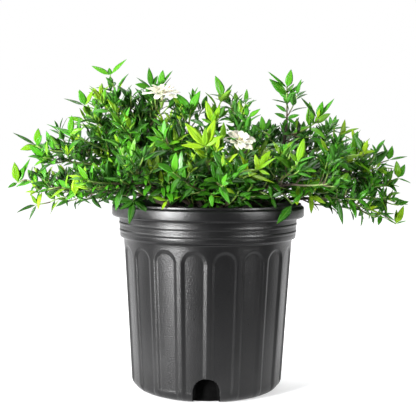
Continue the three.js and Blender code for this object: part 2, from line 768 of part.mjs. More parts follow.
// A flower's tube and petals, before they are turned to its facing and moved to its neck. Its
// "reflex" bends the petals back.
function flowerParts(bloom, random) {
  const facing = new THREE.Vector3(...bloom.facing).normalize();
  const turn = new THREE.Quaternion().setFromUnitVectors(new THREE.Vector3(0, 0, 1), facing);
  const neck = new THREE.Vector3(...bloom.neck).addScaledVector(facing, CALYX.height + GAP);
  const { radius, mouth, mouthRadius } = TUBE;
  const tube = turned([[0, 0], [radius, 0], [radius * 1.2, mouth - 2], [mouthRadius, mouth + 2],
    [mouthRadius * 0.6, mouth + 5], [0, mouth + 6.5]], 6, 0);
  const petals = [];
  const ring = (count, lift, length, first) => {
    for (let i = 0; i < count; i += 1) {
      const angle = first + (2 * Math.PI * i) / count + 0.14 * (random() - 0.5);
      const rise = lift + 0.08 * (random() - 0.5);
      const out = new THREE.Vector3(Math.cos(angle), Math.sin(angle), 0);
      const along = out.clone().multiplyScalar(Math.cos(rise))
        .add(new THREE.Vector3(0, 0, Math.sin(rise))).normalize();
      const root = out.clone().multiplyScalar(1.4).add(new THREE.Vector3(0, 0, mouth + 1.5));
      const size = length * (0.94 + 0.12 * random());
      petals.push({ root, along, size });
    }
  };
  const bent = 0.4 * bloom.reflex;
  ring(PETAL.count, PETAL.lift - bent, bloom.span / 2, 0.3);
  ring(PETAL.innerCount, PETAL.innerLift, (bloom.span / 2) * PETAL.innerShare, 0.8);
  const blades = petals.map(({ root, along, size }) => makeBlade(root, along,
    new THREE.Vector3(0, 0, 1), size, (size * PETAL.aspect) / 2, 0.1 + bent, PETAL.fold));
  return { turn, neck, tube, blades };
}

function flowerSolid({ turn, neck, tube, blades }) {
  const petals = blades.map((blade) => bladeSolid(blade, PETAL_OUTLINE, PETAL.thickness));
  return place(joined([toSolid(tube), ...petals]), turn, neck);
}

function flowerPoints({ turn, neck, blades }) {
  return blades.flatMap((blade) => bladePoints(blade, PETAL_OUTLINE))
    .map(({ at, reach }) => ({ at: at.applyQuaternion(turn).add(neck), reach }));
}

// ---------------------------------------------------------------- the whole plant

function assemble() {
  const plant = new THREE.Group();
  const crowd = new Crowd(8);
  plant.add(toMesh('pot', potSolid(), MATERIALS.pot()));
  plant.add(toMesh('soil', soilSolid(), MATERIALS.soil()));

  for (const [name, stem] of Object.entries(STEMS)) {
    plant.add(toMesh(`woody_stem_${name}`, stemSolid(stem), MATERIALS.bark()));
    for (const branch of Object.values(stem.branches)) {
      crowd.add(tubePoints(branchCurve(stem, branch), BRANCH.footRadius, BRANCH.tipRadius), name);
    }
  }

  const shoots = plannedShoots();
  // The foot of a twig is beside the branch that it grows from, so it isn't tested.
  const testedFrom = 0.12;
  for (const shoot of shoots) {
    const points = tubePoints(shoot.curve, TWIG.footRadius, TWIG.tipRadius, testedFrom);
    const met = crowd.meets(points, []);
    if (met) throw new Error(`the twig of ${shoot.name} crosses ${met}`);
    if (!clearOfPot(points)) throw new Error(`the twig of ${shoot.name} crosses the pot`);
    crowd.add(tubePoints(shoot.curve, TWIG.footRadius, TWIG.tipRadius), shoot.name);
  }

  BLOOMS.forEach((bloom, i) => {
    const parts = flowerParts(bloom, randomStream(SEED + 7 * i));
    const name = `flower_${i + 1}`;
    const met = crowd.meets(flowerPoints(parts), [`flower_shoot_${i + 1}`]);
    if (met) throw new Error(`${name} crosses ${met}`);
    crowd.add(flowerPoints(parts), name);
    plant.add(toMesh(name, flowerSolid(parts), MATERIALS.petal()));
  });

  // The top whorls are placed first, so that the outside of the plant is even.
  const placed = new Map(shoots.map((shoot) => [shoot.name, []]));
  const rules = shoots.map((shoot) => leafRule(shoot.curve, shoot.random, shoot.turn));
  for (let whorl = 0; whorl < WHORL.count; whorl += 1) {
    shoots.forEach((shoot, s) => {
      for (const leaf of rules[s].filter((one) => one.whorl === whorl)) {
        if (shoot.facing && whorl === 0) continue;
        for (const [aroundBy, spreadBy, sizeBy] of BENDS) {
          const blade = leafBlade(leaf, aroundBy, spreadBy, sizeBy);
          const outer = bladePoints(blade, LEAF_OUTLINE, 0.3);
          const own = [shoot.name, `${shoot.name} leaves`];
          const clear = !crowd.meets(bladePoints(blade, LEAF_OUTLINE), own)
            && !crowd.meets(outer, [shoot.name]) && clearOfPot(outer);
          if (clear) {
            crowd.add(outer, `${shoot.name} leaves`);
            placed.get(shoot.name).push({ ...blade, leads: leaf.leads });
            break;
          }
        }
      }
    });
  }

  for (const shoot of shoots) {
    const blades = placed.get(shoot.name);
    const solids = blades.map((blade) => (blade.leads ? leadingTwigSolid(shoot.curve, blade)
      : bladeSolid(blade, LEAF_OUTLINE, LEAF.thickness)));
    if (shoot.facing) {
      const facing = new THREE.Vector3(...shoot.facing).normalize();
      solids.push(toSolid(taperedTube(shoot.curve, TWIG.steps, TWIG.sides, TWIG.footRadius,
        TWIG.tipRadius)));
      solids.push(...calyxSolids(new THREE.Vector3(...shoot.neck), facing));
    } else if (!blades.some((blade) => blade.leads)) {
      throw new Error(`the leading leaf of ${shoot.name} has no room`);
    }
    const colour = shoot.young ? MATERIALS.youngLeaf() : MATERIALS.leaf();
    plant.add(toMesh(shoot.name, joined(solids), colour));
  }
  return plant;
}

export default assemble();
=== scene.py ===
"""A gardenia in a moulded nursery pot, dressed over its plain solids.

Lengths are in millimetres, but in shaders and on the stage they are in metres. +Z is up, the
origin is the centre of the pot's foot, and the front is -Y.
"""

import math

import bpy
import numpy as np
from bpy.props import FloatProperty, FloatVectorProperty, IntProperty, PointerProperty
from mathutils import Matrix, Vector


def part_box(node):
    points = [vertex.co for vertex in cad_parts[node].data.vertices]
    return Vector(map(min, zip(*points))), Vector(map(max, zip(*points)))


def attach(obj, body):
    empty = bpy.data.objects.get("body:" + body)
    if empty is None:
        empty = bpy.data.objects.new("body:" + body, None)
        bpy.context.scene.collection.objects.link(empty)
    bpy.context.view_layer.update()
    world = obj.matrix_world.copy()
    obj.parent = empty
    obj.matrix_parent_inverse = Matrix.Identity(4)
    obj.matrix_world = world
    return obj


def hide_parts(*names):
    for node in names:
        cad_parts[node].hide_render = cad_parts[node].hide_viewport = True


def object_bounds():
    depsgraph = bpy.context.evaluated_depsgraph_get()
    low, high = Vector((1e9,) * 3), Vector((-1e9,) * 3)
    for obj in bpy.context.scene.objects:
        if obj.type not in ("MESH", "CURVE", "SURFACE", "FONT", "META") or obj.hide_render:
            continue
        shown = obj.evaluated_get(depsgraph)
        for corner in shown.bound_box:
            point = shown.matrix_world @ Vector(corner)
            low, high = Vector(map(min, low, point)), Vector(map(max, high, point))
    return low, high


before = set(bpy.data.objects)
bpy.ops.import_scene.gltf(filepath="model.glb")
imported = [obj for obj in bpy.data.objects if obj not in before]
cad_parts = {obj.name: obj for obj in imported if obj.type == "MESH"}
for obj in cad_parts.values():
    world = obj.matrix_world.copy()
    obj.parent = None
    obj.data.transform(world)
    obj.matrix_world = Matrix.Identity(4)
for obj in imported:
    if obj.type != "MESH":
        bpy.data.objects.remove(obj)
CAD_BOX = [list(corner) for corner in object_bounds()]

bl_info = {
    "name": "Potted gardenia",
    "version": (1, 0, 0),
    "blender": (4, 5, 0),
    "location": "View3D > Sidebar > Gardenia",
    "description": "Builds a potted gardenia: pot, potting mix, stems, shoots and flowers",
    "category": "Object",
}

MM = 0.001
SEED = 20240
UP = np.array([0.0, 0.0, 1.0])

# ------------------------------------------------------------------ sizes taken from the frame

POT_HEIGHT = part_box("pot")[1][2] / MM
LIP_RADIUS = (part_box("pot")[1][0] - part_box("pot")[0][0]) / 2 / MM
BOX_LOW = np.array(CAD_BOX[0]) / MM
BOX_HIGH = np.array(CAD_BOX[1]) / MM

# ------------------------------------------------------------------ sizes of the pot

RIM = {"outer": 136.0, "inner": 133.0, "ledge": 257.0}
LIP = {"top": 267.2, "bottom": 250.6, "top_round": 4.0, "foot_round": 3.0}
BAND = {"radius": 129.7, "foot": 222.0, "foot_radius": 128.2}
BEADS = {"heights": (230.4, 240.8), "half": 2.2, "height": 0.62, "cut": 0.1}
WALL = {"top": 216.0, "top_radius": 122.7, "foot_radius": 110.7, "foot_round": 16.0}
INSIDE = {"floor": 3.0, "rib_wall": 3.7, "band_wall": 2.4, "round": 10.0}
BEHIND_NOTCH = {"heights": (50, 46, 42, 38, 34, 30, 26, 22), "gap": 2.5, "near": 4.0, "far": 9.0}
PANEL = {
    "count": 18, "first": math.radians(-8.75), "width": 35.6, "foot_width": 32.0,
    "slope": 4.0, "depth": 2.2, "top": 210.4,
}
NOTCH = {"count": 4, "width": 38.0, "height": 35.5, "inner": 92.0, "slide": 0.66}
COLUMNS_PER_PANEL = 32

# ------------------------------------------------------------------ sizes of the plant

SEAT_GAP = 0.3  # between a piece and what it is seated in or on
SOIL = {"edge": 236.0, "crown": 244.0, "clearance": 0.5, "unevenness": 1.6, "hole": 26.0}
TRUNK = {"radius": 6.5, "top_radius": 4.9, "fork": 250.0, "top": 262.0}
BRANCH = {"foot_radius": 3.8, "tip_radius": 1.7, "steps": 5}
TWIG = {"foot_radius": 1.5, "tip_radius": 0.9, "rise": 0.28, "bend": 0.62}
WHORL = {
    "stagger": 2.2, "lead_spread": (10, 18), "tip_spread": (32, 50), "side_spread": (46, 64),
    "wander": 24, "size": (0.86, 1.12), "tip_size": 0.82, "bare_foot": 0.16, "solid_whorls": 2,
    "later_size": (0.6, 1.1), "second": 19.0, "apart": 0.45, "off_axis": 0.3,
}
LIFT = {"outer": 0.14, "later": (0.2, 0.55), "front": (-0.35, 0.5)}
YOUNG_TIPS = {"share": 0.28, "age": 0.05}
BOX_MARGIN = 3.0  # how far a leaf may reach past the solids' box
# How far leaves and twigs keep from the lip's top, its side, the rim's inside and the mix.
LEAF_ROOM = {"lip": 1.5, "side": 2.0, "rim": 8.0, "mix": 2.0}
TWIG_ROOM = {"lip": 4.0, "side": 4.0, "rim": 12.0, "mix": 8.0}
CALYX = {"radius": 3.0, "height": 6.0, "lobes": 5, "lobe_length": 9.0, "lobe_half_width": 1.1}
TUBE = {"radius": 1.9, "mouth": 9.0}
# Rings of petals. Lift, in radians, and length, as a share of the span, grow with the bend.
PETAL_RINGS = (
    {"count": 6, "lift": (0.16, 2), "length": (0.5, 0), "first": 0.3, "solid": True},
    {"count": 3, "lift": (0.85, 0), "length": (0.3, 0.5), "first": 0.8, "solid": True},
    {"count": 6, "lift": (0.3, 3), "length": (0.43, 0), "first": 0.82, "solid": False},
    {"count": 6, "lift": (0.62, 3), "length": (0.34, 0), "first": 0.5, "solid": False},
)
ANTHERS = {"count": 6, "first": 0.82, "reach": 3.2, "rise": 2.4}
# What is drawn at random for each kind of blade, in this order, after its phase.
DRAWN = {
    "leaf": {"wave": (0.04, 0.14), "fold": (0.15, 0.42), "camber": (0.04, 0.16),
             "curl": (0.05, 0.26), "bend": (-0.08, 0.08)},
    "placed_leaf": {"wave": (0.03, 0.12), "fold": (0.12, 0.34), "camber": (0.04, 0.16),
                    "curl": (0.0, 0.1), "bend": (-0.05, 0.05)},
    "petal": {"wave": (0.05, 0.16), "fold": (0.1, 0.26), "camber": (0.0, 0.12),
              "curl": (0.0, 0.1), "bend": (-0.08, 0.08)},
}
THICKNESS = {"leaf": 0.45, "placed_leaf": 0.45, "petal": 0.6}  # along a blade's middle

# Woody stems. Each branch leaves the trunk, bends at its second point and ends at its third.
STEMS = {
    "left": {"foot": (-42, 4), "branches": {
        "high": ((-78, -10, 330), (-150, -20, 345)),
        "low": ((-90, 30, 290), (-188, 38, 286)),
        "upright": ((-96, -42, 318), (-88, -26, 388)),
    }},
    "right": {"foot": (46, 6), "branches": {
        "high": ((112, -6, 318), (114, 8, 392)),
        "out": ((110, -24, 312), (192, -34, 314)),
        "low": ((96, 26, 284), (184, 14, 274)),
        "upright": ((52, -24, 300), (52, -58, 350)),
    }},
    "front": {"foot": (0, -46), "branches": {
        "upright": ((-34, -40, 312), (-30, -34, 362)),
        "low": ((4, -96, 296), (10, -142, 304)),
        "left": ((-50, -100, 300), (-106, -134, 302)),
        "right": ((50, -104, 300), (110, -130, 302)),
    }},
    "back": {"foot": (2, 50), "branches": {
        "left": ((-52, 84, 318), (-96, 132, 346)),
        "right": ((56, 84, 318), (98, 132, 346)),
    }},
}

# Leafy shoots: branch, where on it, tip, sag, turn of the top whorl, and whether it is young.
SHOOTS = {
    "left": [
        ("high", 1, (-232, -58, 346), 8, 20, False),
        ("high", 0.8, (-222, -108, 334), 6, 70, False),
        ("high", 0.9, (-176, -34, 400), -6, 0, False),
        ("high", 0.95, (-228, 34, 344), 10, 40, False),
        ("high", 0.72, (-188, -92, 366), 0, 10, False),
        ("high", 0.82, (-186, 52, 388), 4, 80, True),
        ("low", 1, (-266, 2, 300), 8, 50, False),
        ("low", 0.9, (-244, 70, 264), -8, 35, True),
        ("low", 0.75, (-218, 118, 300), 6, 15, False),
        ("low", 0.72, (-208, -46, 292), 6, 60, False),
        ("low", 0.6, (-172, 112, 272), -4, 60, False),
        ("upright", 1, (-84, -6, 428), 0, 0, False),
        ("upright", 0.88, (-144, 8, 444), 6, 25, False),
        ("upright", 0.7, (-118, -98, 378), 4, 75, False),
    ],
    "right": [
        ("high", 1, (114, 10, 440), 0, 30, False),
        ("high", 0.85, (152, -48, 388), 5, 10, True),
        ("high", 0.8, (186, 50, 380), 8, 50, False),
        ("high", 0.7, (196, 0, 370), 8, 0, True),
        ("out", 1, (266, -34, 304), 6, 65, False),
        ("out", 0.85, (214, -66, 342), 6, 20, True),
        ("out", 0.93, (258, 34, 330), 6, 45, False),
        ("out", 0.7, (172, -118, 338), 5, 80, False),
        ("low", 1, (262, 26, 252), -4, 40, False),
        ("low", 0.8, (206, -84, 280), -4, 0, False),
        ("low", 0.85, (214, 96, 290), 4, 70, False),
        ("upright", 1, (54, -56, 392), 0, 15, False),
        ("upright", 0.8, (82, -86, 366), 4, 55, False),
    ],
    "front": [
        ("upright", 1, (-26, -66, 402), 0, 35, False),
        ("upright", 0.9, (20, -22, 422), 8, 5, True),
        ("upright", 0.75, (-62, -116, 360), 4, 85, False),
        ("low", 1, (16, -202, 310), 5, 25, False),
        ("low", 0.8, (-4, -168, 350), 6, 65, True),
        ("low", 0.9, (62, -190, 322), 5, 45, True),
        ("low", 0.7, (-44, -192, 318), 5, 0, False),
        ("left", 1, (-156, -166, 306), 4, 50, False),
        ("left", 0.9, (-98, -180, 336), 5, 10, False),
        ("left", 0.8, (-176, -120, 292), 4, 75, False),
        ("right", 1, (160, -158, 306), 4, 30, False),
        ("right", 0.9, (112, -184, 332), 5, 60, False),
    ],
    "back": [
        ("left", 1, (-140, 182, 370), 5, 10, False),
        ("left", 0.88, (-58, 188, 394), 5, 40, False),
        ("left", 0.76, (-92, 92, 414), 5, 70, True),
        ("left", 0.9, (-112, 210, 318), 5, 25, False),
        ("left", 0.6, (-26, 190, 322), 5, 55, False),
        ("right", 1, (142, 178, 366), 5, 80, False),
        ("right", 0.88, (46, 172, 404), 5, 20, True),
        ("right", 0.7, (56, 84, 418), 5, 50, False),
        ("right", 0.93, (186, 132, 326), 5, 5, True),
        ("right", 0.8, (84, 214, 326), 5, 35, False),
    ],
}

# Leaves listed one by one: for a shoot, how much further its tip grows, then its top leaves. Each
# leaf is the way it points and reaches, its width as a share of that, and its age.
TOP_LEAVES = {
    "left_01": ((-8, 0, 4), [
        (1, 4, 25, 0.4, 0.35), (8, -6, 15, 0.4, 0.45), (-32, -6, 18, 0.16, 0.9),
        (-21, -10, -5, 0.42, 0.25)]),
    "left_03": ((0, 0, 7), [
        (-7, -4, 23, 0.44, 0.5), (11, 0, 23, 0.26, 0.15), (-31, 4, 12, 0.14, 0.9),
        (-10, 6, 22, 0.2, 0.05)]),
    "left_04": ((-8, -4, 2), [
        (-2, 0, 20, 0.3, 0.7), (18, -4, 22, 0.2, 0.4), (-20, 0, 8, 0.3, 0.5)]),
    "left_05": (None, [
        (3, -4, 25, 0.36, 0.4), (-24, -2, 10, 0.24, 0.6), (18, -6, 8, 0.4, 0.3)]),
    "left_06": (None, [
        (-28, -4, 6, 0.28, 0.35), (-23, 4, -3, 0.18, 0.8), (8, 0, 20, 0.3, 0.1),
        (-10, -6, 20, 0.24, 0.1)]),
    "left_07": ((-14, 0, -4), [
        (-4, -2, 30, 0.4, 0.28), (10, 2, 24, 0.42, 0.5), (-12, -10, -7, 0.34, 0.7),
        (17, 6, 36, 0.16, 0.6)]),
    "left_08": ((-20, -4, -4), [
        (-32, -4, -10, 0.22, 0.95), (-13, -4, -23, 0.16, 0.9), (-8, -2, 16, 0.34, 0.25),
        (2, 4, 22, 0.16, 0.8)]),
    "left_10": ((-18, 0, -3), [
        (-6, -4, 7, 0.4, 0.7), (-14, -4, -4, 0.3, 0.7)]),
    "left_12": ((0, 0, 7), [
        (-4, 4, 31, 0.28, 0.75), (-22, 2, 16, 0.18, 0.8), (8, 8, 20, 0.3, 0.6),
        (-23, -8, 4, 0.42, 0.45)]),
    "left_13": ((-1, 0, 10), [
        (-27, -4, 14, 0.27, 0.4), (23, -4, 25, 0.24, 0.4), (-3, 6, 12, 0.5, 0.5),
        (1, -7, -23, 0.36, 0.85)]),
    "front_10": ((0, -4, -8), [
        (1, -6, 29, 0.4, 0.16), (22, -4, -10, 0.16, 0.9)]),
    "front_01": (None, [
        (13, -4, 26, 0.36, 0.45), (-18, -4, 22, 0.34, 0.5), (2, 4, 16, 0.3, 0.4)]),
    "front_02": (None, [
        (-12, -4, 30, 0.4, 0.42), (14, 4, 19, 0.12, 0.9), (9, -5, -9, 0.4, 0.9),
        (-20, 6, 6, 0.14, 0.8)]),
    "front_05": (None, [
        (-26, -4, 31, 0.32, 0.1), (11, -2, 36, 0.33, 0.12), (-31, -8, 3, 0.26, 0.12),
        (22, -4, 16, 0.3, 0.2), (-2, -8, 24, 0.34, 0.2)]),
    "front_06": (None, [
        (-4, -4, 20, 0.36, 0.02), (22, -6, 16, 0.22, 0.25), (-26, -6, -2, 0.2, 0.2),
        (14, -8, -6, 0.3, 0.25)]),
    "front_12": (None, [
        (7, -6, 30, 0.34, 0.22), (-12, -8, 12, 0.36, 0.3), (20, -4, 10, 0.2, 0.5)]),
    "right_01": ((0, 0, -2), [
        (6, 0, 28, 0.4, 0.42), (-29, 4, 24, 0.2, 0.5), (-15, -6, 13, 0.24, 0.8)]),
    "right_02": ((0, 0, 4), [
        (7, -3, 24, 0.4, 0.6), (25, 4, 28, 0.16, 0.5), (2, -6, 14, 0.3, 0.0),
        (-23, 2, 31, 0.07, 0.95)]),
    "right_03": (None, [
        (-3, -2, 20, 0.36, 0.5), (7, 2, 22, 0.26, 0.45), (28, 0, 6, 0.14, 0.6)]),
    "right_05": ((4, 0, 5), [
        (-2, -2, 25, 0.44, 0.3), (11, 2, 20, 0.42, 0.6), (18, -4, -6, 0.2, 0.6),
        (-14, -6, -12, 0.3, 0.8)]),
    "right_06": ((0, 0, 3), [
        (-15, -2, 26, 0.34, 0.75), (6, -4, 17, 0.4, 0.0), (16, -4, 2, 0.32, 0.0)]),
    "right_07": ((12, 0, 4), [
        (-9, 0, 26, 0.24, 0.85), (5, -3, 22, 0.42, 0.45), (29, 0, 7, 0.14, 0.55)]),
    "right_09": ((19, -2, -13), [
        (12, -4, 27, 0.34, 0.12), (2, 2, 22, 0.3, 0.2), (16, 0, 6, 0.12, 0.6),
        (-16, -6, 8, 0.2, 0.7)]),
    "right_12": (None, [
        (-4, -2, 20, 0.34, 0.6), (18, -2, 12, 0.3, 0.4), (-22, 4, 6, 0.2, 0.8)]),
    "right_13": ((-8, 0, 6), [
        (-3, -4, 21, 0.42, 0.42), (10, -2, 17, 0.34, 0.85), (-16, -4, 10, 0.3, 0.8)]),
    "back_08": (None, [
        (3, 0, 24, 0.3, 0.4), (18, 2, 8, 0.2, 0.6), (-14, 0, 12, 0.24, 0.7)]),
}

# Leaves further down a shoot: how far along it, then leaves as above.
LOWER_LEAVES = {
    "right_01": [
        (0.72, [(-26, 0, 26, 0.36, 0.75), (26, 6, 22, 0.07, 0.95)]),
        (0.5, [(-22, 0, 6, 0.14, 0.9), (10, 4, 14, 0.3, 0.6)]),
        (0.22, [(-16, -4, 12, 0.32, 0.5)]),
        (0.04, [
            (-18, -6, 8, 0.34, 0.6), (18, -6, 5, 0.34, 0.5), (-6, -8, -14, 0.34, 0.8),
            (14, -6, -9, 0.3, 0.7)]),
    ],
    "right_10": [
        (0.62, [(9, -6, -38, 0.22, 0.8), (-14, -6, -12, 0.3, 0.8)]),
    ],
    "right_09": [
        (0.96, [(6, -6, 33, 0.3, 0.95), (-6, -8, -16, 0.4, 0.6), (22, 4, 2, 0.2, 0.6)]),
        (0.75, [(12, -4, 18, 0.3, 0.3), (4, -6, -20, 0.26, 0.9)]),
    ],
    "left_08": [
        (0.9, [(-6, -4, 18, 0.3, 0.8), (-4, -8, -18, 0.2, 0.9)]),
        (0.7, [(-14, -6, 14, 0.3, 0.6), (6, -8, -14, 0.22, 0.8)]),
    ],
    "right_05": [
        (0.85, [(-4, -4, 22, 0.34, 0.7), (14, -6, -14, 0.3, 0.8)]),
    ],
    "right_07": [
        (0.8, [(-3, -4, 18, 0.3, 0.05), (-16, -6, 8, 0.3, 0.8)]),
    ],
    "left_07": [
        (0.7, [(4, -6, 18, 0.36, 0.5), (-12, -6, -10, 0.3, 0.7)]),
    ],
}

# Where a shoot's side twigs differ from the rest: how far up they go, and how many.
SIDE_TWIGS = {
    "right_01": (0.2, 1), "left_13": (0.4, 2), "left_08": (0.8, 3), "right_09": (0.9, 4),
    "right_12": (0.3, 0), "back_08": (0.3, 1), "right_02": (0.35, 1), "right_03": (0.35, 2),
    "right_06": (0.4, 3), "right_13": (0.4, 2),
}
# Where a branch's inner twigs differ from the rest: how far up they go, and how many.
INNER_TWIGS = {("right", "high"): (0.6, 10), ("front", "left"): (0.98, 26),
               ("front", "right"): (0.98, 26), ("front", "low"): (0.9, 22)}

# Longer inner twigs that close the gaps between branches: stem, branch, where on it, and tip.
FILL_TWIGS = [
    ("back", "left", 0.35, (-30, 138, 348)), ("back", "right", 0.4, (34, 150, 344)),
    ("back", "left", 0.25, (-6, 96, 330)), ("back", "right", 0.25, (10, 172, 316)),
    ("back", "left", 0.7, (-52, 186, 330)), ("back", "right", 0.7, (58, 190, 326)),
    ("left", "low", 0.5, (-132, 98, 318)), ("right", "low", 0.5, (138, 92, 312)),
    ("left", "low", 0.25, (-84, 88, 336)), ("right", "low", 0.25, (88, 84, 330)),
    ("left", "upright", 0.4, (-132, -92, 306)), ("left", "upright", 0.55, (-150, -60, 362)),
    ("left", "upright", 0.35, (-142, -58, 334)), ("right", "out", 0.5, (134, -86, 296)),
    ("right", "out", 0.9, (240, -44, 322)), ("right", "low", 0.9, (240, 4, 300)),
    ("left", "upright", 0.8, (-150, -34, 412)), ("left", "upright", 0.85, (-118, -50, 408)),
    ("left", "upright", 0.7, (-140, -60, 402)), ("left", "high", 0.9, (-166, 4, 408)),
    ("right", "low", 0.95, (256, -34, 298)), ("right", "low", 0.98, (268, -8, 276)),
    ("right", "low", 0.8, (230, -26, 264)), ("right", "out", 0.6, (142, -76, 284)),
    ("left", "low", 0.9, (-250, -4, 282)), ("right", "upright", 0.9, (40, -16, 414)),
]

# Short twigs that lean over the pot's rim: stem, branch, where on it, tip, and leaves as above.
RIM_TWIGS = [
    ("front", "left", 0.62, (-100, -106, 277), [
        (-5, -14, -30, 0.3, 0.95), (-33, -2, 3, 0.34, 0.95), (22, -8, -14, 0.36, 0.9),
        (4, -10, 14, 0.3, 0.7), (-18, -10, -12, 0.3, 0.9), (16, 2, -4, 0.36, 0.95)]),
    ("front", "right", 0.8, (114, -102, 274), [
        (-21, -9, -26, 0.34, 0.95), (12, -4, 16, 0.3, 0.6)]),
    ("front", "left", 0.35, (-54, -124, 279), [
        (-8, -5, -12, 0.3, 0.15), (-20, -8, 5, 0.26, 0.2), (20, 0, 7, 0.24, 0.25)]),
    ("front", "low", 0.45, (4, -122, 288), [
        (1, -4, -17, 0.42, 0.5), (-16, -6, 4, 0.3, 0.7), (18, -4, 6, 0.3, 0.6)]),
    ("front", "low", 0.7, (5, -150, 380), [
        (-9, -4, 30, 0.32, 0.16), (10, -2, 24, 0.3, 0.2), (2, -6, 15, 0.4, 0.3),
        (-15, -6, 6, 0.3, 0.35)]),
    ("front", "low", 0.8, (18, -150, 358), [
        (0, -4, 24, 0.34, 0.3), (-12, -6, 16, 0.3, 0.5), (18, -6, 4, 0.3, 0.5)]),
    ("left", "upright", 0.95, (-70, -22, 436), [
        (3, -2, 24, 0.42, 0.45), (16, -2, 24, 0.16, 0.8), (-14, -6, 4, 0.34, 0.6),
        (14, -6, 2, 0.34, 0.7)]),
    ("left", "upright", 0.4, (-118, -84, 334), [
        (-16, -6, 12, 0.34, 0.8), (14, -6, 12, 0.34, 0.9), (-12, -6, -12, 0.34, 0.9),
        (10, -6, -12, 0.36, 0.8), (-2, -6, 20, 0.3, 0.5), (0, -8, -18, 0.34, 0.95)]),
    ("front", "left", 0.45, (-80, -112, 284), [
        (-14, -8, 12, 0.36, 0.9), (18, -8, 6, 0.34, 0.8), (-20, -6, -6, 0.34, 0.95),
        (10, -10, -9, 0.36, 0.9)]),
    ("front", "left", 0.25, (-34, -112, 284), [
        (-16, -8, 8, 0.34, 0.9), (16, -8, 8, 0.34, 0.8), (-4, -8, -8, 0.36, 0.95),
        (4, -4, 20, 0.3, 0.5)]),
    ("front", "right", 0.35, (40, -116, 286), [
        (-14, -8, 10, 0.34, 0.85), (18, -8, 4, 0.34, 0.8), (4, -8, -12, 0.36, 0.95),
        (-2, -4, 18, 0.3, 0.4)]),
    ("front", "right", 0.6, (84, -120, 284), [
        (16, -8, 10, 0.34, 0.85), (-20, -8, 2, 0.3, 0.8), (6, -8, -14, 0.36, 0.9),
        (-4, -6, 18, 0.3, 0.6)]),
]

# Flowers and their shoots. Reflex bends the petals back, and half_width is a share of a petal's
# length.
BLOOMS = [
    {"stem": "left", "branch": "upright", "at": 0.93, "neck": (-66, -56, 408), "sag": 2,
     "turn": 45, "facing": (0.02, -0.36, 0.93), "span": 53.0, "reflex": 0.12, "half_width": 0.21},
    {"stem": "front", "branch": "low", "at": 0.6, "neck": (36, -136, 344), "sag": 4,
     "turn": 15, "facing": (0.18, -0.6, 0.78), "span": 40.0, "reflex": 0.5, "half_width": 0.3},
]


# ------------------------------------------------------------------ settings

def colour_property(name, description, default):
    return FloatVectorProperty(name=name, description=description, subtype="COLOR", size=3,
                               min=0.0, max=1.0, default=default)


def share_property(name, description, default, low=0.0, high=1.0):
    return FloatProperty(name=name, description=description, subtype="FACTOR", min=low, max=high,
                         default=default)


def amount_property(name, description, default, low=0.0, high=1000.0):
    return FloatProperty(name=name, description=description, min=low, max=high, default=default)


class PotSettings(bpy.types.PropertyGroup):
    plastic: colour_property("Plastic", "Colour of the moulded plastic", (0.003, 0.003, 0.0032))
    roughness: share_property("Roughness", "How satin the plastic is", 0.31)
    dust: share_property("Dust", "How much dust lies near the foot", 0.25)


class PlantSettings(bpy.types.PropertyGroup):
    leaf_length: amount_property("Leaf length", "Of a full-grown leaf, in mm", 31.0, 15.0, 60.0)
    leaf_aspect: share_property("Leaf width", "As a share of its length", 0.36, 0.15, 0.7)
    whorl_spacing: amount_property("Whorl spacing", "Along a twig, in mm", 12.5, 6.0, 40.0)
    old_leaf: colour_property("Old leaf", "Colour of the oldest leaves", (0.003, 0.030, 0.001))
    leaf: colour_property("Leaf", "Colour of a full-grown leaf", (0.034, 0.182, 0.005))
    young_leaf: colour_property("Young leaf", "Colour of new growth", (0.23, 0.37, 0.008))
    bark: colour_property("Bark", "Colour of the woody stems", (0.045, 0.028, 0.018))
    seed: IntProperty(name="Seed", description="Start of the leaves' random numbers",
                      min=0, default=SEED)


class FlowerSettings(bpy.types.PropertyGroup):
    petal: colour_property("Petal", "Colour of the petals", (0.68, 0.67, 0.59))
    centre: colour_property("Centre", "Colour of the throat", (0.42, 0.50, 0.26))


class StageSettings(bpy.types.PropertyGroup):
    floor: colour_property("Floor", "Colour of the floor", (0.6, 0.6, 0.61))
    key_power: amount_property("Key light", "Power of the front left softbox, in W", 140.0)
    side_power: amount_property("Side light", "Power of the left softbox, in W", 26.0)
    fill_power: amount_property("Fill light", "Power of the right softbox, in W", 30.0)
    top_power: amount_property("Top light", "Power of the overhead softbox, in W", 34.0)
    room: amount_property("Room", "Brightness of the darker side of the room", 0.02)
    overhead: amount_property("Overhead", "Extra brightness overhead", 0.12)
    backdrop: amount_property("Backdrop", "Brightness of the backdrop and sweep", 1.0)


# ------------------------------------------------------------------ shaders

# Colours that a user would leave alone.
COLOURS = {
    # The notch colour and the near-black mix colours are painted shade for the notches' insides.
    "black": (0.0, 0.0, 0.0), "white": (1.0, 1.0, 1.0), "notch": (0.002, 0.002, 0.002),
    "wet_mix": (0.001, 0.001, 0.001), "painted_shade_speck": (0.005, 0.005, 0.005),
    "mix": (0.010, 0.007, 0.005), "fibre": (0.060, 0.036, 0.020),
    "mix_patch": (0.022, 0.014, 0.009), "bark_spot": (0.19, 0.14, 0.10),
    "midrib": (0.11, 0.25, 0.025), "underside": (0.045, 0.15, 0.022),
    "green_twig": (0.13, 0.23, 0.03), "brown_twig": (0.055, 0.036, 0.018),
    "twig_fibre": (0.12, 0.14, 0.05), "petal_vein": (0.62, 0.64, 0.50),
    "anther": (0.40, 0.36, 0.14), "pollen": (0.62, 0.58, 0.30),
}


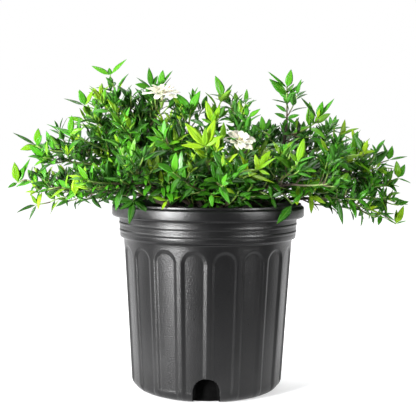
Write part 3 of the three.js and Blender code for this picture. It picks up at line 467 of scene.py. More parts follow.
class Value:
    """A number that varies over a surface. Arithmetic on it adds Math nodes."""

    def __init__(self, shader, socket):
        self.shader = shader
        self.socket = socket

    def _math(self, operation, *values):
        return self.shader.node("ShaderNodeMath", {"operation": operation}, *values)

    def __add__(self, other):
        return self._math("ADD", self, other)

    def __sub__(self, other):
        return self._math("SUBTRACT", self, other)

    def __rsub__(self, other):
        return self._math("SUBTRACT", other, self)

    def __mul__(self, other):
        return self._math("MULTIPLY", self, other)

    __radd__ = __add__
    __rmul__ = __mul__

    def __pow__(self, other):
        return self._math("POWER", self, other)

    def __abs__(self):
        return self._math("ABSOLUTE", self)

    def sine(self):
        return self._math("SINE", self)

    def step(self, low, high):
        """0 below low and 1 above high, with a smooth rise between them."""
        return self.shader.node("ShaderNodeMapRange", {"interpolation_type": "SMOOTHSTEP"},
                                self, low, high, 0.0, 1.0)


class Nodes:
    """A tree of shader nodes."""

    def __init__(self, tree):
        self.nodes = tree.nodes
        self.links = tree.links

    def node(self, kind, settings, *values, output=0, **named):
        """A node of a kind, with its settings, then the values or links of its sockets."""
        made = self.nodes.new(kind)
        for key, setting in settings.items():
            setattr(made, key, setting)
        enabled = [socket for socket in made.inputs if socket.enabled]
        pairs = list(zip(enabled, values))
        pairs += [(made.inputs[key.replace("_", " ")], value) for key, value in named.items()]
        for socket, value in pairs:
            if isinstance(value, Value):
                self.links.new(value.socket, socket)
            elif value is not None:
                socket.default_value = value
        outputs = [socket for socket in made.outputs if socket.enabled]
        return Value(self, outputs[output])

    def axis(self, i, place):
        """The X, Y or Z of a place, as i is 0, 1 or 2."""
        return self.node("ShaderNodeSeparateXYZ", {}, place, output=i)


class Shader(Nodes):
    """A material with one Principled BSDF."""

    def __init__(self, name, **constants):
        self.material = bpy.data.materials.new(name)
        self.material.use_nodes = True
        super().__init__(self.material.node_tree)
        self.surface = self.nodes["Principled BSDF"]
        for socket, value in constants.items():
            self.surface.inputs[socket.replace("_", " ")].default_value = value

    def place(self):
        """The point's own place on its object."""
        return self.node("ShaderNodeTexCoord", {}, output=3)

    def height(self):
        return self.axis(2, self.place())

    def leaf_uv(self):
        """How far across and along a blade a point is, each from 0 to 1."""
        uv = self.node("ShaderNodeUVMap", {"uv_map": "leaf"})
        return self.axis(0, uv), self.axis(1, uv)

    def attribute(self, name):
        """The three channels of a colour attribute."""
        colour = self.node("ShaderNodeAttribute", {"attribute_name": name})
        return [self.node("ShaderNodeSeparateColor", {}, colour, output=i) for i in range(3)]

    def noise(self, scale, detail=3.0, where=None):
        return self.node("ShaderNodeTexNoise", {}, Vector=where or self.place(), Scale=scale,
                         Detail=detail)

    def mix(self, share, low, high):
        """A colour between two colours."""
        low = (*low, 1.0) if isinstance(low, tuple) else low
        high = (*high, 1.0) if isinstance(high, tuple) else high
        return self.node("ShaderNodeMix", {"data_type": "RGBA"}, share, low, high)

    def feed(self, socket, value):
        self.links.new(value.socket, self.surface.inputs[socket])

    def bump(self, height, distance_mm, strength=1.0):
        made = self.node("ShaderNodeBump", {}, Strength=strength, Distance=distance_mm * MM,
                         Height=height)
        self.feed("Normal", made)


def plastic_material(settings):
    """Satin charcoal plastic: a fine moulded grain, faint flow marks, dust at the foot, and
    painted shade inside the notches.
    """
    shader = Shader("pot_plastic", Roughness=settings.roughness, Specular_IOR_Level=0.40)
    base = tuple(settings.plastic)
    pale = tuple(2.4 * channel + 0.012 for channel in base)
    clouds = shader.noise(18.0, 5.0)
    low = 1 - shader.height().step(0.0, 0.11)
    dust = (clouds.step(0.42, 0.75) * low + clouds.step(0.6, 0.85) * 0.3) * settings.dust
    # Painted shade: faces within a notch, marked by the shade channel, turn near black.
    dark, _, _ = shader.attribute("shade")
    worn = shader.mix(dust, base, pale)
    shader.feed("Base Color", shader.mix(dark, worn, COLOURS["notch"]))
    grain = shader.noise(640.0, 2.0)
    shader.feed("Roughness", settings.roughness - 0.12 + clouds * 0.1 + grain * 0.16 + dust * 0.3)
    shader.bump(grain + clouds * 0.3, 0.34, 1.0)
    return shader.material


def recess_painted_shade_material():
    """Painted shade behind a drain notch: a nearly black matt sheet with faint specks."""
    shader = Shader("wet_mix", Roughness=1.0, Specular_IOR_Level=0.0)
    crumbs = shader.noise(260.0, 4.0)
    shader.feed("Base Color", shader.mix(crumbs, COLOURS["wet_mix"], COLOURS["painted_shade_speck"]))
    return shader.material


def soil_material():
    """Dark potting mix with paler fibres and bark, painted nearly black as shade at the foot."""
    shader = Shader("potting_mix", Roughness=0.95, Specular_IOR_Level=0.08)
    crumbs = shader.noise(260.0, 6.0)
    patches = shader.noise(45.0, 3.0)
    colour = shader.mix(crumbs.step(0.42, 0.66), COLOURS["mix"], COLOURS["fibre"])
    colour = shader.mix(patches.step(0.5, 0.8), colour, COLOURS["mix_patch"])
    # Painted shade: low down, where the notches show the mix in shadow, it goes nearly black.
    low_painted_shade = 1 - shader.height().step(0.05, 0.2)
    shader.feed("Base Color", shader.mix(low_painted_shade, colour, COLOURS["wet_mix"]))
    shader.bump(crumbs, 1.6)
    return shader.material


def bark_material(settings):
    """Grey-brown bark with long fissures and small raised spots."""
    shader = Shader("bark", Roughness=0.8)
    base = tuple(settings.bark)
    around, along, _ = shader.attribute("grain")
    stretched = shader.node("ShaderNodeCombineXYZ", {}, around * 9.0, along * 2.0, 0.0)
    fissures = shader.noise(3.0, 6.0, stretched)
    spots = shader.noise(520.0, 2.0)
    dark = tuple(0.45 * channel for channel in base)
    colour = shader.mix(fissures.step(0.38, 0.66), dark, base)
    shader.feed("Base Color", shader.mix(spots.step(0.62, 0.72) * 0.5, colour,
                                         COLOURS["bark_spot"]))
    shader.bump(fissures + spots * 0.3, 0.5)
    return shader.material


def leaf_material(name, settings, variation):
    """Glossy leaf: a pale midrib, fine side veins, a dull paler underside, tint by age.

    The tint attribute holds age, from 0 for new growth to 1, then the leaf's own shade, then how
    far a point is on the underside. Variation is how much paler a leaf may be.
    """
    shader = Shader(name, Specular_IOR_Level=0.22)
    age, shade, under = shader.attribute("tint")
    side, along = shader.leaf_uv()
    across = abs(side - 0.5) * 2.0
    midrib = 1 - across.step(0.02, 0.1)
    veins = ((along - across * 0.16) * 88.0).sine().step(0.7, 1.0) * across.step(0.04, 0.2)
    young = tuple(settings.young_leaf)
    grown = tuple(settings.leaf)
    old = tuple(settings.old_leaf)
    colour = shader.mix(age.step(0.0, 0.5), young, grown)
    colour = shader.mix(age.step(0.5, 1.0), colour, old)
    mottle = shader.noise(160.0, 3.0)
    lighter = (shade * 0.55 + mottle * 0.3) * variation * (1 - age * 0.6)
    colour = shader.mix(lighter, colour, tuple(min(1.0, 1.7 * c + 0.002) for c in grown))
    colour = shader.mix(midrib * 0.5 + veins * 0.12, colour, COLOURS["midrib"])
    facing = (under * 6.0).step(0.3, 1.0)
    colour = shader.mix(facing * 0.55, colour, COLOURS["underside"])
    shader.feed("Base Color", colour)
    shader.feed("Roughness", facing * 0.3 + shade * 0.16 + mottle * 0.08 + 0.15)
    shader.bump(veins * -0.5 - midrib * 1.4 + mottle * 0.4, 0.28, 0.8)
    return shader.material


def twig_material():
    """Green bark that turns brown towards the foot of a twig."""
    shader = Shader("green_twig", Roughness=0.5)
    share, _, _ = shader.attribute("tint")
    fibres = shader.noise(240.0, 3.0)
    colour = shader.mix(share.step(0.2, 0.85), COLOURS["green_twig"],
                        COLOURS["brown_twig"])
    shader.feed("Base Color", shader.mix(fibres.step(0.5, 0.8) * 0.5, colour,
                                         COLOURS["twig_fibre"]))
    shader.bump(fibres, 0.2)
    return shader.material


def petal_material(settings):
    """Waxy cream-white petals with faint veins that run out from a greenish throat."""
    shader = Shader("petal", Roughness=0.6, Specular_IOR_Level=0.2, Subsurface_Weight=0.12,
                    Subsurface_Scale=0.004)
    base = tuple(settings.petal)
    share, shade, _ = shader.attribute("tint")
    across, _ = shader.leaf_uv()
    veins = (across * 70.0).sine().step(0.5, 1.0)
    clouds = shader.noise(140.0, 3.0)
    cream = tuple(c * f for c, f in zip(base, (0.90, 0.86, 0.70)))
    colour = shader.mix(clouds * 0.5 + shade * 0.4, base, cream)
    colour = shader.mix(veins * 0.06, colour, COLOURS["petal_vein"])
    throat = 1 - share.step(0.03, 0.34)
    shader.feed("Base Color", shader.mix(throat * 0.8, colour, tuple(settings.centre)))
    shader.bump(veins + clouds * 0.6, 0.22, 0.6)
    return shader.material


def anther_material():
    """Powdery ochre of the anthers and the club in the throat."""
    shader = Shader("anther", Roughness=0.85)
    grains = shader.noise(900.0, 2.0)
    shader.feed("Base Color", shader.mix(grains, COLOURS["anther"], COLOURS["pollen"]))
    shader.bump(grains, 0.2)
    return shader.material


def floor_material(settings):
    """Matt acrylic sweep that gives off light behind the object.

    It is solid round the pot's foot and behind it, and fades out further in front.
    """
    shader = Shader("studio_floor", Roughness=0.9, Specular_IOR_Level=0.1,
                    Emission_Strength=settings.backdrop)
    clouds = shader.noise(2.0, 2.0)
    base = tuple(settings.floor)
    x, y = [shader.axis(i, shader.place()) for i in (0, 1)]
    back = y.step(-0.35, 0.3)
    near = 1 - ((x * x + y * y) ** 0.5).step(0.25, 0.7)
    far = y.step(0.1, 0.35)
    shader.feed("Emission Color", shader.mix(back, COLOURS["black"], COLOURS["white"]))
    shader.feed("Alpha", near + far - near * far)
    shader.feed("Base Color", shader.mix(clouds * 0.2, base, tuple(0.985 * c for c in base)))
    return shader.material


# ------------------------------------------------------------------ surfaces

def blend(low, high, share):
    """low where the share is 0, high where it is 1, and evenly between."""
    return low + (high - low) * share


def add_object(name, data):
    made = bpy.data.objects.new(name, data)
    bpy.context.scene.collection.objects.link(made)
    return made


def unit(vectors):
    return vectors / np.maximum(np.linalg.norm(vectors, axis=-1, keepdims=True), 1e-9)


def skin(rings, ends):
    """Closed skins over rings of points.

    rings is (skins, stations, around, 3) and ends is (skins, 2, 3), the point that closes each
    skin's first and last ring. Returns points (n, 3), quads and triangles.
    """
    skins, stations, around, _ = rings.shape
    size = stations * around + 2
    points = np.concatenate([rings.reshape(skins, -1, 3), ends], axis=1).reshape(-1, 3)
    i = np.arange(around)
    j = (i + 1) % around
    row = (np.arange(stations - 1) * around)[:, None]
    quads = np.stack([row + i, row + j, row + around + j, row + around + i], axis=-1)
    last = (stations - 1) * around
    first_end = np.full(around, size - 2)
    last_end = np.full(around, size - 1)
    triangles = np.concatenate([np.stack([j, i, first_end], axis=-1),
                                np.stack([last + i, last + j, last_end], axis=-1)])
    start = (np.arange(skins) * size)[:, None, None]
    return (points, (quads.reshape(-1, 4) + start).reshape(-1, 4),
            (triangles + start).reshape(-1, 3))


class Part:
    """Skins that are gathered into one mesh, with a tint, a UV and a material number each."""

    def __init__(self):
        self.points, self.quads, self.triangles = [], [], []
        self.tints, self.uvs, self.numbers = [], [], []
        self.count = 0

    def add(self, rings, ends, tint=None, uv=None, number=0):
        """tint and uv have one row for each point, and are 0 if not given.

        number is the material's, and may have one for each quad.
        """
        points, quads, triangles = skin(rings, ends)
        self.points.append(points)
        self.quads.append(quads + self.count)
        self.triangles.append(triangles + self.count)
        self.tints.append(np.zeros((len(points), 3)) if tint is None else tint.reshape(-1, 3))
        self.uvs.append(np.zeros((len(points), 2)) if uv is None else uv.reshape(-1, 2))
        numbers = np.zeros(len(quads) + len(triangles), dtype=int)
        numbers[:len(quads)] = number
        numbers[len(quads):] = number if np.isscalar(number) else 0
        self.numbers.append(numbers)
        self.count += len(points)

    def build(self, name, materials, attribute):
        """The mesh object, riding on the root body, with its place in its mesh.

        attribute names the colour attribute that holds the tints.
        """
        mesh = bpy.data.meshes.new(name)
        faces = []
        for quads, triangles in zip(self.quads, self.triangles):
            faces += quads.tolist() + triangles.tolist()
        points = np.concatenate(self.points)
        mesh.from_pydata((points * MM).tolist(), [], faces)
        for material in materials:
            mesh.materials.append(material)
        mesh.polygons.foreach_set("material_index", np.concatenate(self.numbers))
        mesh.polygons.foreach_set("use_smooth", [True] * len(faces))
        corners = np.empty(len(mesh.loops), dtype=np.int32)
        mesh.loops.foreach_get("vertex_index", corners)
        tints = np.concatenate(self.tints)
        colours = np.concatenate([tints, np.ones((len(tints), 1))], axis=1)
        layer = mesh.attributes.new(attribute, "FLOAT_COLOR", "POINT")
        layer.data.foreach_set("color", colours.astype(np.float32).ravel())
        uv_layer = mesh.uv_layers.new(name="leaf")
        uv = np.concatenate(self.uvs)[corners]
        uv_layer.data.foreach_set("uv", uv.astype(np.float32).ravel())
        mesh.update()
        made = add_object(name, mesh)
        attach(made, "root")
        return made


def tube_rings(path, radii, sides):
    """Rings round a path: at each point of it, a circle square to the path.

    path is (n, 3) and radii is (n,). The circle starts towards whichever axis the path runs
    along least, so it doesn't twist.
    """
    tangents = unit(np.gradient(path, axis=0))
    hint = np.eye(3)[np.argmin(np.abs(tangents.mean(axis=0)))]
    across = unit(np.cross(tangents, hint))
    other = np.cross(tangents, across)
    angles = np.arange(sides) * 2 * np.pi / sides
    return (path[:, None] + radii[:, None, None] * (
        np.cos(angles)[None, :, None] * across[:, None]
        + np.sin(angles)[None, :, None] * other[:, None]))


def add_tube(part, path, radii, sides, number, foot_tint=1.0, tip_tint=0.0):
    """A round tube along a path. Its tint runs evenly from its foot to its tip."""
    rings = tube_rings(path, radii, sides)
    stations = len(path)
    shares = np.linspace(foot_tint, tip_tint, stations)
    around = np.arange(sides) / sides
    tint = np.zeros((stations * sides + 2, 3))
    tint[:-2, 0] = np.repeat(shares, sides)
    tint[-2:, 0] = (foot_tint, tip_tint)
    uv = np.zeros((stations * sides + 2, 2))
    uv[:-2, 0] = np.tile(around, stations)
    uv[:-2, 1] = np.repeat(np.linspace(0, 1, stations), sides)
    uv[-1, 1] = 1.0
    part.add(rings[None], np.stack([path[0], path[-1]])[None], tint, uv, number)


# ------------------------------------------------------------------ curves and random numbers

def random_stream(seed):
    """An even stream of random numbers from 0 to 1, the same as the solids use."""
    mask = 0xFFFFFFFF
    state = seed & mask
    while True:
        state = (state + 0x6D2B79F5) & mask
        t = state
        t = ((t ^ (t >> 15)) * (t | 1)) & mask
        t ^= (t + (((t ^ (t >> 7)) * (t | 61)) & mask)) & mask
        yield ((t ^ (t >> 14)) & mask) / 4294967296


def between(stream, pair):
    return blend(*pair, next(stream))


def even_stream(look):
    """An endless stream of numbers from 0 to 1, drawn as they are needed."""
    return iter(lambda: look.uniform(0, 1), None)


class Curve:
    """A Bezier curve through control points, sampled evenly by length."""

    SAMPLES = 201

    def __init__(self, *controls):
        self.controls = [np.array(point, dtype=float) for point in controls]
        shares = np.linspace(0, 1, self.SAMPLES)
        self.points = self.at(shares)
        steps = np.linalg.norm(np.diff(self.points, axis=0), axis=1)
        self.lengths = np.concatenate([[0], np.cumsum(steps)])
        self.length = self.lengths[-1]

    def at(self, shares):
        """Points by the curve's own parameter: the sum of Bernstein weights times controls."""
        shares = np.atleast_1d(shares)[:, None]
        degree = len(self.controls) - 1
        return sum(math.comb(degree, k) * (1 - shares) ** (degree - k) * shares ** k * control
                   for k, control in enumerate(self.controls))

    def parameter(self, share):
        """The curve's own parameter for a share of its length."""
        return np.interp(np.asarray(share) * self.length, self.lengths,
                         np.linspace(0, 1, self.SAMPLES))

    def even(self, share):
        return self.at(self.parameter(share))

    def tangent(self, share):
        step = 1e-3
        middle = np.clip(self.parameter(share), step, 1 - step)
        return unit(self.at(middle + step) - self.at(middle - step))


def branch_curve(stem, name):
    by, to = STEMS[stem]["branches"][name]
    return Curve((*STEMS[stem]["foot"], TRUNK["fork"]), by, to)


def twig_curve(stem, branch, at, tip, sag):
    """A twig from the side of its branch to its tip, as the solids have it."""
    curve = branch_curve(stem, branch)
    steps = BRANCH["steps"]
    step = min(int(at * steps), steps - 1)
    low, high = curve.at([step / steps, (step + 1) / steps])
    foot = low + (high - low) * (at * steps - step)
    own = 1e-3
    middle = min(max(at, own), 1 - own)
    along = unit(curve.at(middle + own) - curve.at(middle - own))[0]
    tip = np.array(tip, dtype=float)
    away = tip - foot
    out = along
    offset = SEAT_GAP
    if at < 1:
        out = unit(away - away.dot(along) * along)
        offset += blend(BRANCH["foot_radius"], BRANCH["tip_radius"], at)
    start = foot + out * offset
    lift = np.array([0.0, 0.0, -sag])
    knee = start + out * np.linalg.norm(away) * TWIG["rise"] + 0.4 * lift
    bend = start + (tip - start) * TWIG["bend"] + lift
    return Curve(start, knee, bend, tip)


# ------------------------------------------------------------------ blades

def leaf_width(share):
    """Lance-shaped: a sine of a power of the share, drawn in to a short stalk at the root."""
    body = np.sin(np.pi * share ** 0.82) ** 0.9
    return body * np.minimum(1.0, (share / 0.22) ** 1.2)


def petal_width(share):
    """Narrow at the claw, widest at three quarters, with a round tip."""
    body = 0.3 + 0.7 * np.sin(np.pi / 2 * np.minimum(1.0, share / 0.7)) ** 1.3
    return body * np.sqrt(np.clip(1 - np.clip((share - 0.62) / 0.385, 0, 1) ** 2.6, 0, 1))


# Where a blade's grid has its points: along it, across its top and across its underside.
LEAF = {
    "stations": np.array([0.05, 0.14, 0.28, 0.45, 0.63, 0.80, 0.92]),
    "top": np.array([1.0, 0.5, 0.0, -0.5, -1.0]), "under": np.array([0.0]),
    "width": leaf_width, "tint_along": False,
}
PETAL = {
    "stations": np.array([0.03, 0.12, 0.24, 0.38, 0.52, 0.66, 0.78, 0.88, 0.95, 0.985]),
    "top": np.array([1.0, 0.75, 0.45, 0.15, -0.15, -0.45, -0.75, -1.0]),
    "under": np.array([-0.6, -0.2, 0.2, 0.6]), "width": petal_width, "tint_along": True,
}


def add_blades(part, blades, kind=LEAF):
    """Thin closed blades, all worked out at once.

    A point at share t along and s across is root + along L t + side s w(t) W + up h, where h is
    the fold times |s| w W, plus the camber times (1 - s squared) w W, less the curl times t
    squared times L, plus a wave in t at the margins. The underside is the same, less the
    thickness times (1 - |s|). The first channel of the tint is the blade's age, or t itself.
    """
    stations, width = kind["stations"], kind["width"]
    column = {key: np.array([blade[key] for blade in blades]) for key in blades[0]}
    count = len(blades)
    s = np.concatenate([kind["top"], kind["under"]])
    beneath = np.concatenate([np.zeros(len(kind["top"])), np.ones(len(kind["under"]))])
    t = stations[:, None]
    spread = (width(t) * s[None])[None]
    half = column["half_width"][:, None, None]
    length = column["length"][:, None, None]
    phase = column["phase"][:, None, None]
    wave = column["wave"][:, None, None]
    magnitude = np.abs(s)[None, None]
    rise = (column["fold"][:, None, None] * np.abs(spread) * half
            + column["camber"][:, None, None] * (1 - magnitude ** 2) * width(t)[None] * half
            - column["curl"][:, None, None] * t[None] ** 2 * length
            + wave * half * magnitude * width(t)[None]
            * np.sin(2 * np.pi * 1.4 * t[None] + phase + 1.3 * np.sign(s)[None, None])
            - column["thickness"][:, None, None] * (beneath * (1 - np.abs(s)))[None, None])
    bend = column["bend"][:, None, None] * t[None] ** 2 * length

    def spread_out(name, amount):
        return column[name][:, None, None, :] * amount[..., None]

    ones = np.ones((count, len(stations), len(s)))
    rings = (column["root"][:, None, None, :] + spread_out("along", ones * t[None] * length)
             + spread_out("side", spread * half + bend * ones) + spread_out("up", rise))
    tip = (column["root"] + column["along"] * column["length"][:, None]
           - column["up"] * (column["curl"] * column["length"])[:, None]
           + column["side"] * (column["bend"] * column["length"])[:, None])
    ends = np.stack([column["root"], tip], axis=1)

    size = len(stations) * len(s) + 2
    tint = np.zeros((count, size, 3))
    tint[:, :, 0] = column["age"][:, None]
    tint[:, :, 1] = column["shade"][:, None]
    tint[:, :-2, 2] = np.tile(beneath * (1 - np.abs(s)), len(stations))[None]
    uv = np.full((count, size, 2), 0.5)
    uv[:, :-2, 0] = np.tile(0.5 + 0.5 * s, len(stations))[None]
    uv[:, :-2, 1] = np.repeat(stations, len(s))[None]
    uv[:, -2:, 1] = (0.0, 1.0)
    if kind["tint_along"]:
        tint[:, :, 0] = uv[:, :, 1]
    part.add(rings, ends, tint, uv)


def blade_frame(along, up_hint):
    side = unit(np.cross(along, up_hint))
    return side, unit(np.cross(side, along))


def drawn_blade(kind, look, root, along, up_hint, length, half_width, age):
    """A blade that points along, with its shape and shade drawn at random."""
    side, up = blade_frame(along, up_hint)
    blade = {"root": root, "along": along, "side": side, "up": up, "length": length,
             "half_width": half_width, "thickness": THICKNESS[kind],
             "phase": look.uniform(0, 6.28)}
    blade.update({key: look.uniform(*pair) for key, pair in DRAWN[kind].items()})
    blade.update(age=age, shade=look.uniform(0, 1))
    return blade


def whorl_blade(root, axis, around, spread, length, aspect, look, lift, leads=False):
    """A leaf that leaves its twig at an angle of spread, turned by around about the axis.

    Lift turns it towards the light.
    """
    across = np.cross(axis, UP)
    across = np.array([1.0, 0.0, 0.0]) if np.linalg.norm(across) < 0.05 else unit(across)
    turn, open_by = math.radians(around), math.radians(spread)
    radial = across * math.cos(turn) + np.cross(axis, across) * math.sin(turn)
    along = unit(axis * math.cos(open_by) + radial * math.sin(open_by) + lift * UP)
    hint = (axis + 0.8 * UP - 0.3 * radial
            + np.array([look.uniform(-0.5, 0.5), look.uniform(-0.9, 0.1), 0.0]))
    root = root + radial * (0 if leads else WHORL["off_axis"])
    return drawn_blade("leaf", look, root, along, hint, length, length * aspect / 2, 0.0)


def placed_blade(root, leaf, look):
    """A listed leaf. A broad one shows its face to the front, a narrow one its edge."""
    reach = np.array(leaf[:3], dtype=float)
    length = float(np.linalg.norm(reach))
    narrow = leaf[3] < 0.25
    hint = np.array([0.1, -0.6, 0.8]) if narrow else np.array([0.15, -1.0, 0.45])
    return drawn_blade("placed_leaf", look, root, reach / length, hint, length,
                       length * max(leaf[3], 0.18) / 2, leaf[4])


def inside_box(blade):
    tip = blade["root"] + blade["along"] * blade["length"]
    return bool(np.all(tip > BOX_LOW - BOX_MARGIN) and np.all(tip < BOX_HIGH + BOX_MARGIN))


def clear_of_pot(points, room):
    """Whether points are all above the pot, outside it, or inside its rim above the mix."""
    radius, height = np.hypot(points[:, 0], points[:, 1]), points[:, 2]
    free = (height > POT_HEIGHT + room["lip"]) | (radius > LIP_RADIUS + room["side"])
    within = (radius < RIM["inner"] - room["rim"]) & (height > SOIL["crown"] + room["mix"])
    return bool(np.all(free | within))


def clear_of_blooms(blade):
    """Whether a leaf keeps out of the open flowers."""
    shares = np.linspace(0.2, 1, 5)[:, None]
    points = blade["root"] + shares * blade["length"] * blade["along"]
    for bloom in BLOOMS:
        facing = unit(np.array(bloom["facing"]))
        centre = np.array(bloom["neck"]) + facing * (CALYX["height"] + TUBE["mouth"] + 6)
        if np.linalg.norm(points - centre, axis=1).min() < bloom["span"] * 0.4:
            return False
    return True


def clear_leaf(blade):
    """Whether a leaf keeps to the solids' box and out of the pot, the mix and the flowers."""
    shares = np.linspace(0, 1, 7)[:, None]
    points = (blade["root"] + shares * blade["length"] * blade["along"]
              - shares ** 2 * blade["length"] * blade["curl"] * blade["up"])
    return inside_box(blade) and clear_of_pot(points, LEAF_ROOM) and clear_of_blooms(blade)


def clear_twig(curve):
    return clear_of_pot(curve.at([0.5, 1.0]), TWIG_ROOM)


def dress_twig(curve, stream, look, turn, age, plant, solid_whorls=0, top=True, scale=1.0,
               spacing_scale=1.0, lifts=LIFT["later"]):
    """The leaves of a twig: three at its tip, then crossed pairs to its foot.

    The first whorls repeat the solids' draws, and "look" draws what the solids don't have. top is
    whether the tip has its whorl.
    """
    blades = []
    shares = [1.0]
    if solid_whorls > 1:
        shares.append(1 - WHORL["second"] / curve.length)
    spacing = plant.whorl_spacing * spacing_scale
    young_tip = solid_whorls == 0 and look.uniform(0, 1) < YOUNG_TIPS["share"]
    reach = curve.length - spacing * 0.6
    while reach > curve.length * WHORL["bare_foot"]:
        from_second = abs(reach - curve.length + WHORL["second"])
        if solid_whorls < 2 or from_second > spacing * WHORL["apart"]:
            shares.append(reach / curve.length)
        reach -= spacing * look.uniform(0.8, 1.2)
    for whorl, share in enumerate(shares):
        if share < WHORL["bare_foot"]:
            continue
        at_tip = whorl == 0
        solid = whorl < solid_whorls
        own = stream if solid else even_stream(look)
        axis = curve.tangent(share)[0]
        for i in range(3 if at_tip else 2):
            leads = at_tip and i == 0
            spread = between(own, WHORL["lead_spread"] if leads
                             else WHORL["tip_spread"] if at_tip else WHORL["side_spread"])
            around = turn + 90 * whorl + 360 * i / (3 if at_tip else 2)
            around += WHORL["wander"] * (next(own) - 0.5)
            size = (WHORL["tip_size"] if at_tip else 1) * between(own, WHORL["size"])
            if not solid:
                size *= look.uniform(*WHORL["later_size"])
            back = WHORL["stagger"] * i / curve.length if at_tip else 0
            lift = LIFT["outer"] if solid else look.uniform(*lifts)
            blade = whorl_blade(curve.even(share - back)[0], axis, around, spread,
                                plant.leaf_length * size * scale,
                                plant.leaf_aspect * look.uniform(0.75, 1.1), look, lift, leads)
            blade["age"] = float(np.clip(age + (1 - share) * 0.5 + look.uniform(-0.2, 0.2), 0, 1))
            if at_tip and young_tip:
                blade["age"] = YOUNG_TIPS["age"]
            if clear_leaf(blade) and (top or not at_tip):
                blades.append(blade)
    return blades


def side_twig(curve, share, look, length):
    """A short twig that leaves another at a wide angle and rises a little towards its tip."""
    foot = curve.even(share)[0]
    axis = curve.tangent(share)[0]
    across = unit(np.cross(axis, UP + 0.01))
    turn = look.uniform(0, 2 * math.pi)
    radial = across * math.cos(turn) + np.cross(axis, across) * math.sin(turn)
    along = unit(axis * 0.75 + radial * 0.75 + UP * 0.25)
    middle = foot + along * length * 0.5
    tip = foot + unit(along + 0.35 * UP) * length
    return Curve(foot, middle, tip)


def add_twig(part, curve, foot=1.0, tip=1.0):
    """A twig that tapers, with slight swellings. foot and tip compare its radii with a shoot's."""
    stations = max(6, int(curve.length / 5))
    shares = np.linspace(0, 1, stations)
    swell = 1 + 0.1 * np.sin(shares * curve.length * 2 * np.pi / 12.5) ** 2
    radii = blend(TWIG["foot_radius"] * foot, TWIG["tip_radius"] * tip, shares) * swell
    add_tube(part, curve.even(shares), radii, 7, 1)


def leafy_twig(part, curve, look, plant, radii, ages, **dress):
    """A twig of its own drawn turn and age, and its leaves."""
    add_twig(part, curve, *radii)
    return dress_twig(curve, None, look, look.uniform(0, 90), look.uniform(*ages), plant, **dress)


# ------------------------------------------------------------------ the pot

def arc(centre, radius, start, end, steps):
    """Points on a circle from one angle to another, in degrees, as (radius, height) rows."""
    angles = np.radians(np.linspace(start, end, steps + 1))
    return np.stack([centre[0] + radius * np.cos(angles),
                     centre[1] + radius * np.sin(angles)], axis=1)


def band_radius(height):
    share = (height - BAND["foot"]) / (LIP["bottom"] - BAND["foot"])
    return blend(BAND["foot_radius"], BAND["radius"], share)


def wall_radius(height):
    share = (height - WALL["foot_round"]) / (WALL["top"] - WALL["foot_round"])
    return blend(WALL["foot_radius"], WALL["top_radius"], share)


def bead_rows(height):
    """A moulded line: a raised bead, with a narrow cut under it."""
    half = BEADS["half"]
    steps = np.linspace(-2 * half, 1.2 * half, 17)
    bead = BEADS["height"] * np.clip(1 - (steps / half) ** 2, 0, 1) ** 0.8
    cut = BEADS["cut"] * np.exp(-((steps + 1.35 * half) / (0.3 * half)) ** 2)
    return np.stack([band_radius(height + steps) + bead - cut, height + steps], axis=1)


def wall_rows():
    """The outside of the foot and wall. Rows are close where notches and panel tops need it."""
    foot_round = WALL["foot_round"]
    flat = WALL["foot_radius"] - foot_round
    heights = np.concatenate([
        np.arange(foot_round + 1.3, NOTCH["height"] + 5, 1.3),
        np.arange(NOTCH["height"] + 9, PANEL["top"] - 24, 9.0),
        np.arange(PANEL["top"] - 22, WALL["top"] - 2, 1.3),
    ])
    upright = np.stack([wall_radius(heights), heights], axis=1)
    return np.concatenate([arc((flat, foot_round), foot_round, -90, 0, 16), upright])


def pot_rows():
    """The pot's whole outline, from the middle of its foot, up outside and down inside."""
    flat = WALL["foot_radius"] - WALL["foot_round"]
    outside = wall_rows()
    shoulder = np.array([[WALL["top_radius"] + 0.1, WALL["top"] + 1.0],
                         [WALL["top_radius"] + 0.4, WALL["top"] + 2.4],
                         [WALL["top_radius"] + 1.3, WALL["top"] + 3.2],
                         [BAND["foot_radius"] - 1.5, BAND["foot"] - 1.7],
                         [BAND["foot_radius"] - 0.5, BAND["foot"] - 1.2],
                         [BAND["foot_radius"], BAND["foot"]]])
    low, high = BEADS["heights"]
    below_lip = LIP["bottom"] - 3.0
    band = np.concatenate([bead_rows(low), bead_rows(high),
                           [[band_radius(below_lip), below_lip]]])
    under = arc((BAND["radius"] + 1.6, LIP["bottom"] - 1.6), 1.6, 180, 90, 3)
    lip_foot = arc((LIP_RADIUS - LIP["foot_round"], LIP["bottom"] + LIP["foot_round"]),
                   LIP["foot_round"], -90, 0, 5)
    lip_top = arc((LIP_RADIUS - LIP["top_round"], LIP["top"] - LIP["top_round"]),
                  LIP["top_round"], 0, 90, 7)
    crease = [[RIM["outer"] - 0.15, LIP["top"] + 0.25]]
    rim_out = arc((RIM["outer"] - 1, POT_HEIGHT - 1), 1.0, 0, 90, 3)
    rim_in = arc((RIM["inner"] + 1, POT_HEIGHT - 1), 1.0, 90, 180, 3)
    inner_band = BAND["radius"] - INSIDE["band_wall"]
    inner_foot = WALL["foot_radius"] - INSIDE["rib_wall"]
    inside = np.array([
        [RIM["inner"], RIM["ledge"] + 1], [RIM["inner"] - 1, RIM["ledge"]],
        [inner_band + 0.8, RIM["ledge"] - 1.2], [inner_band, RIM["ledge"] - 2.5],
        [BAND["foot_radius"] - INSIDE["band_wall"], BAND["foot"]],
        [WALL["top_radius"] - INSIDE["rib_wall"], WALL["top"] - 2],
        *[[inside_radius(height), height] for height in BEHIND_NOTCH["heights"]],
        [inner_foot, INSIDE["floor"] + 1.5 * INSIDE["round"]],
        [inner_foot - INSIDE["round"], INSIDE["floor"]],
    ])
    return np.concatenate([[[flat * 0.5, 0.0]], outside, shoulder, band, under, lip_foot,
                           lip_top, crease, rim_out, rim_in, inside]), len(outside) + 1


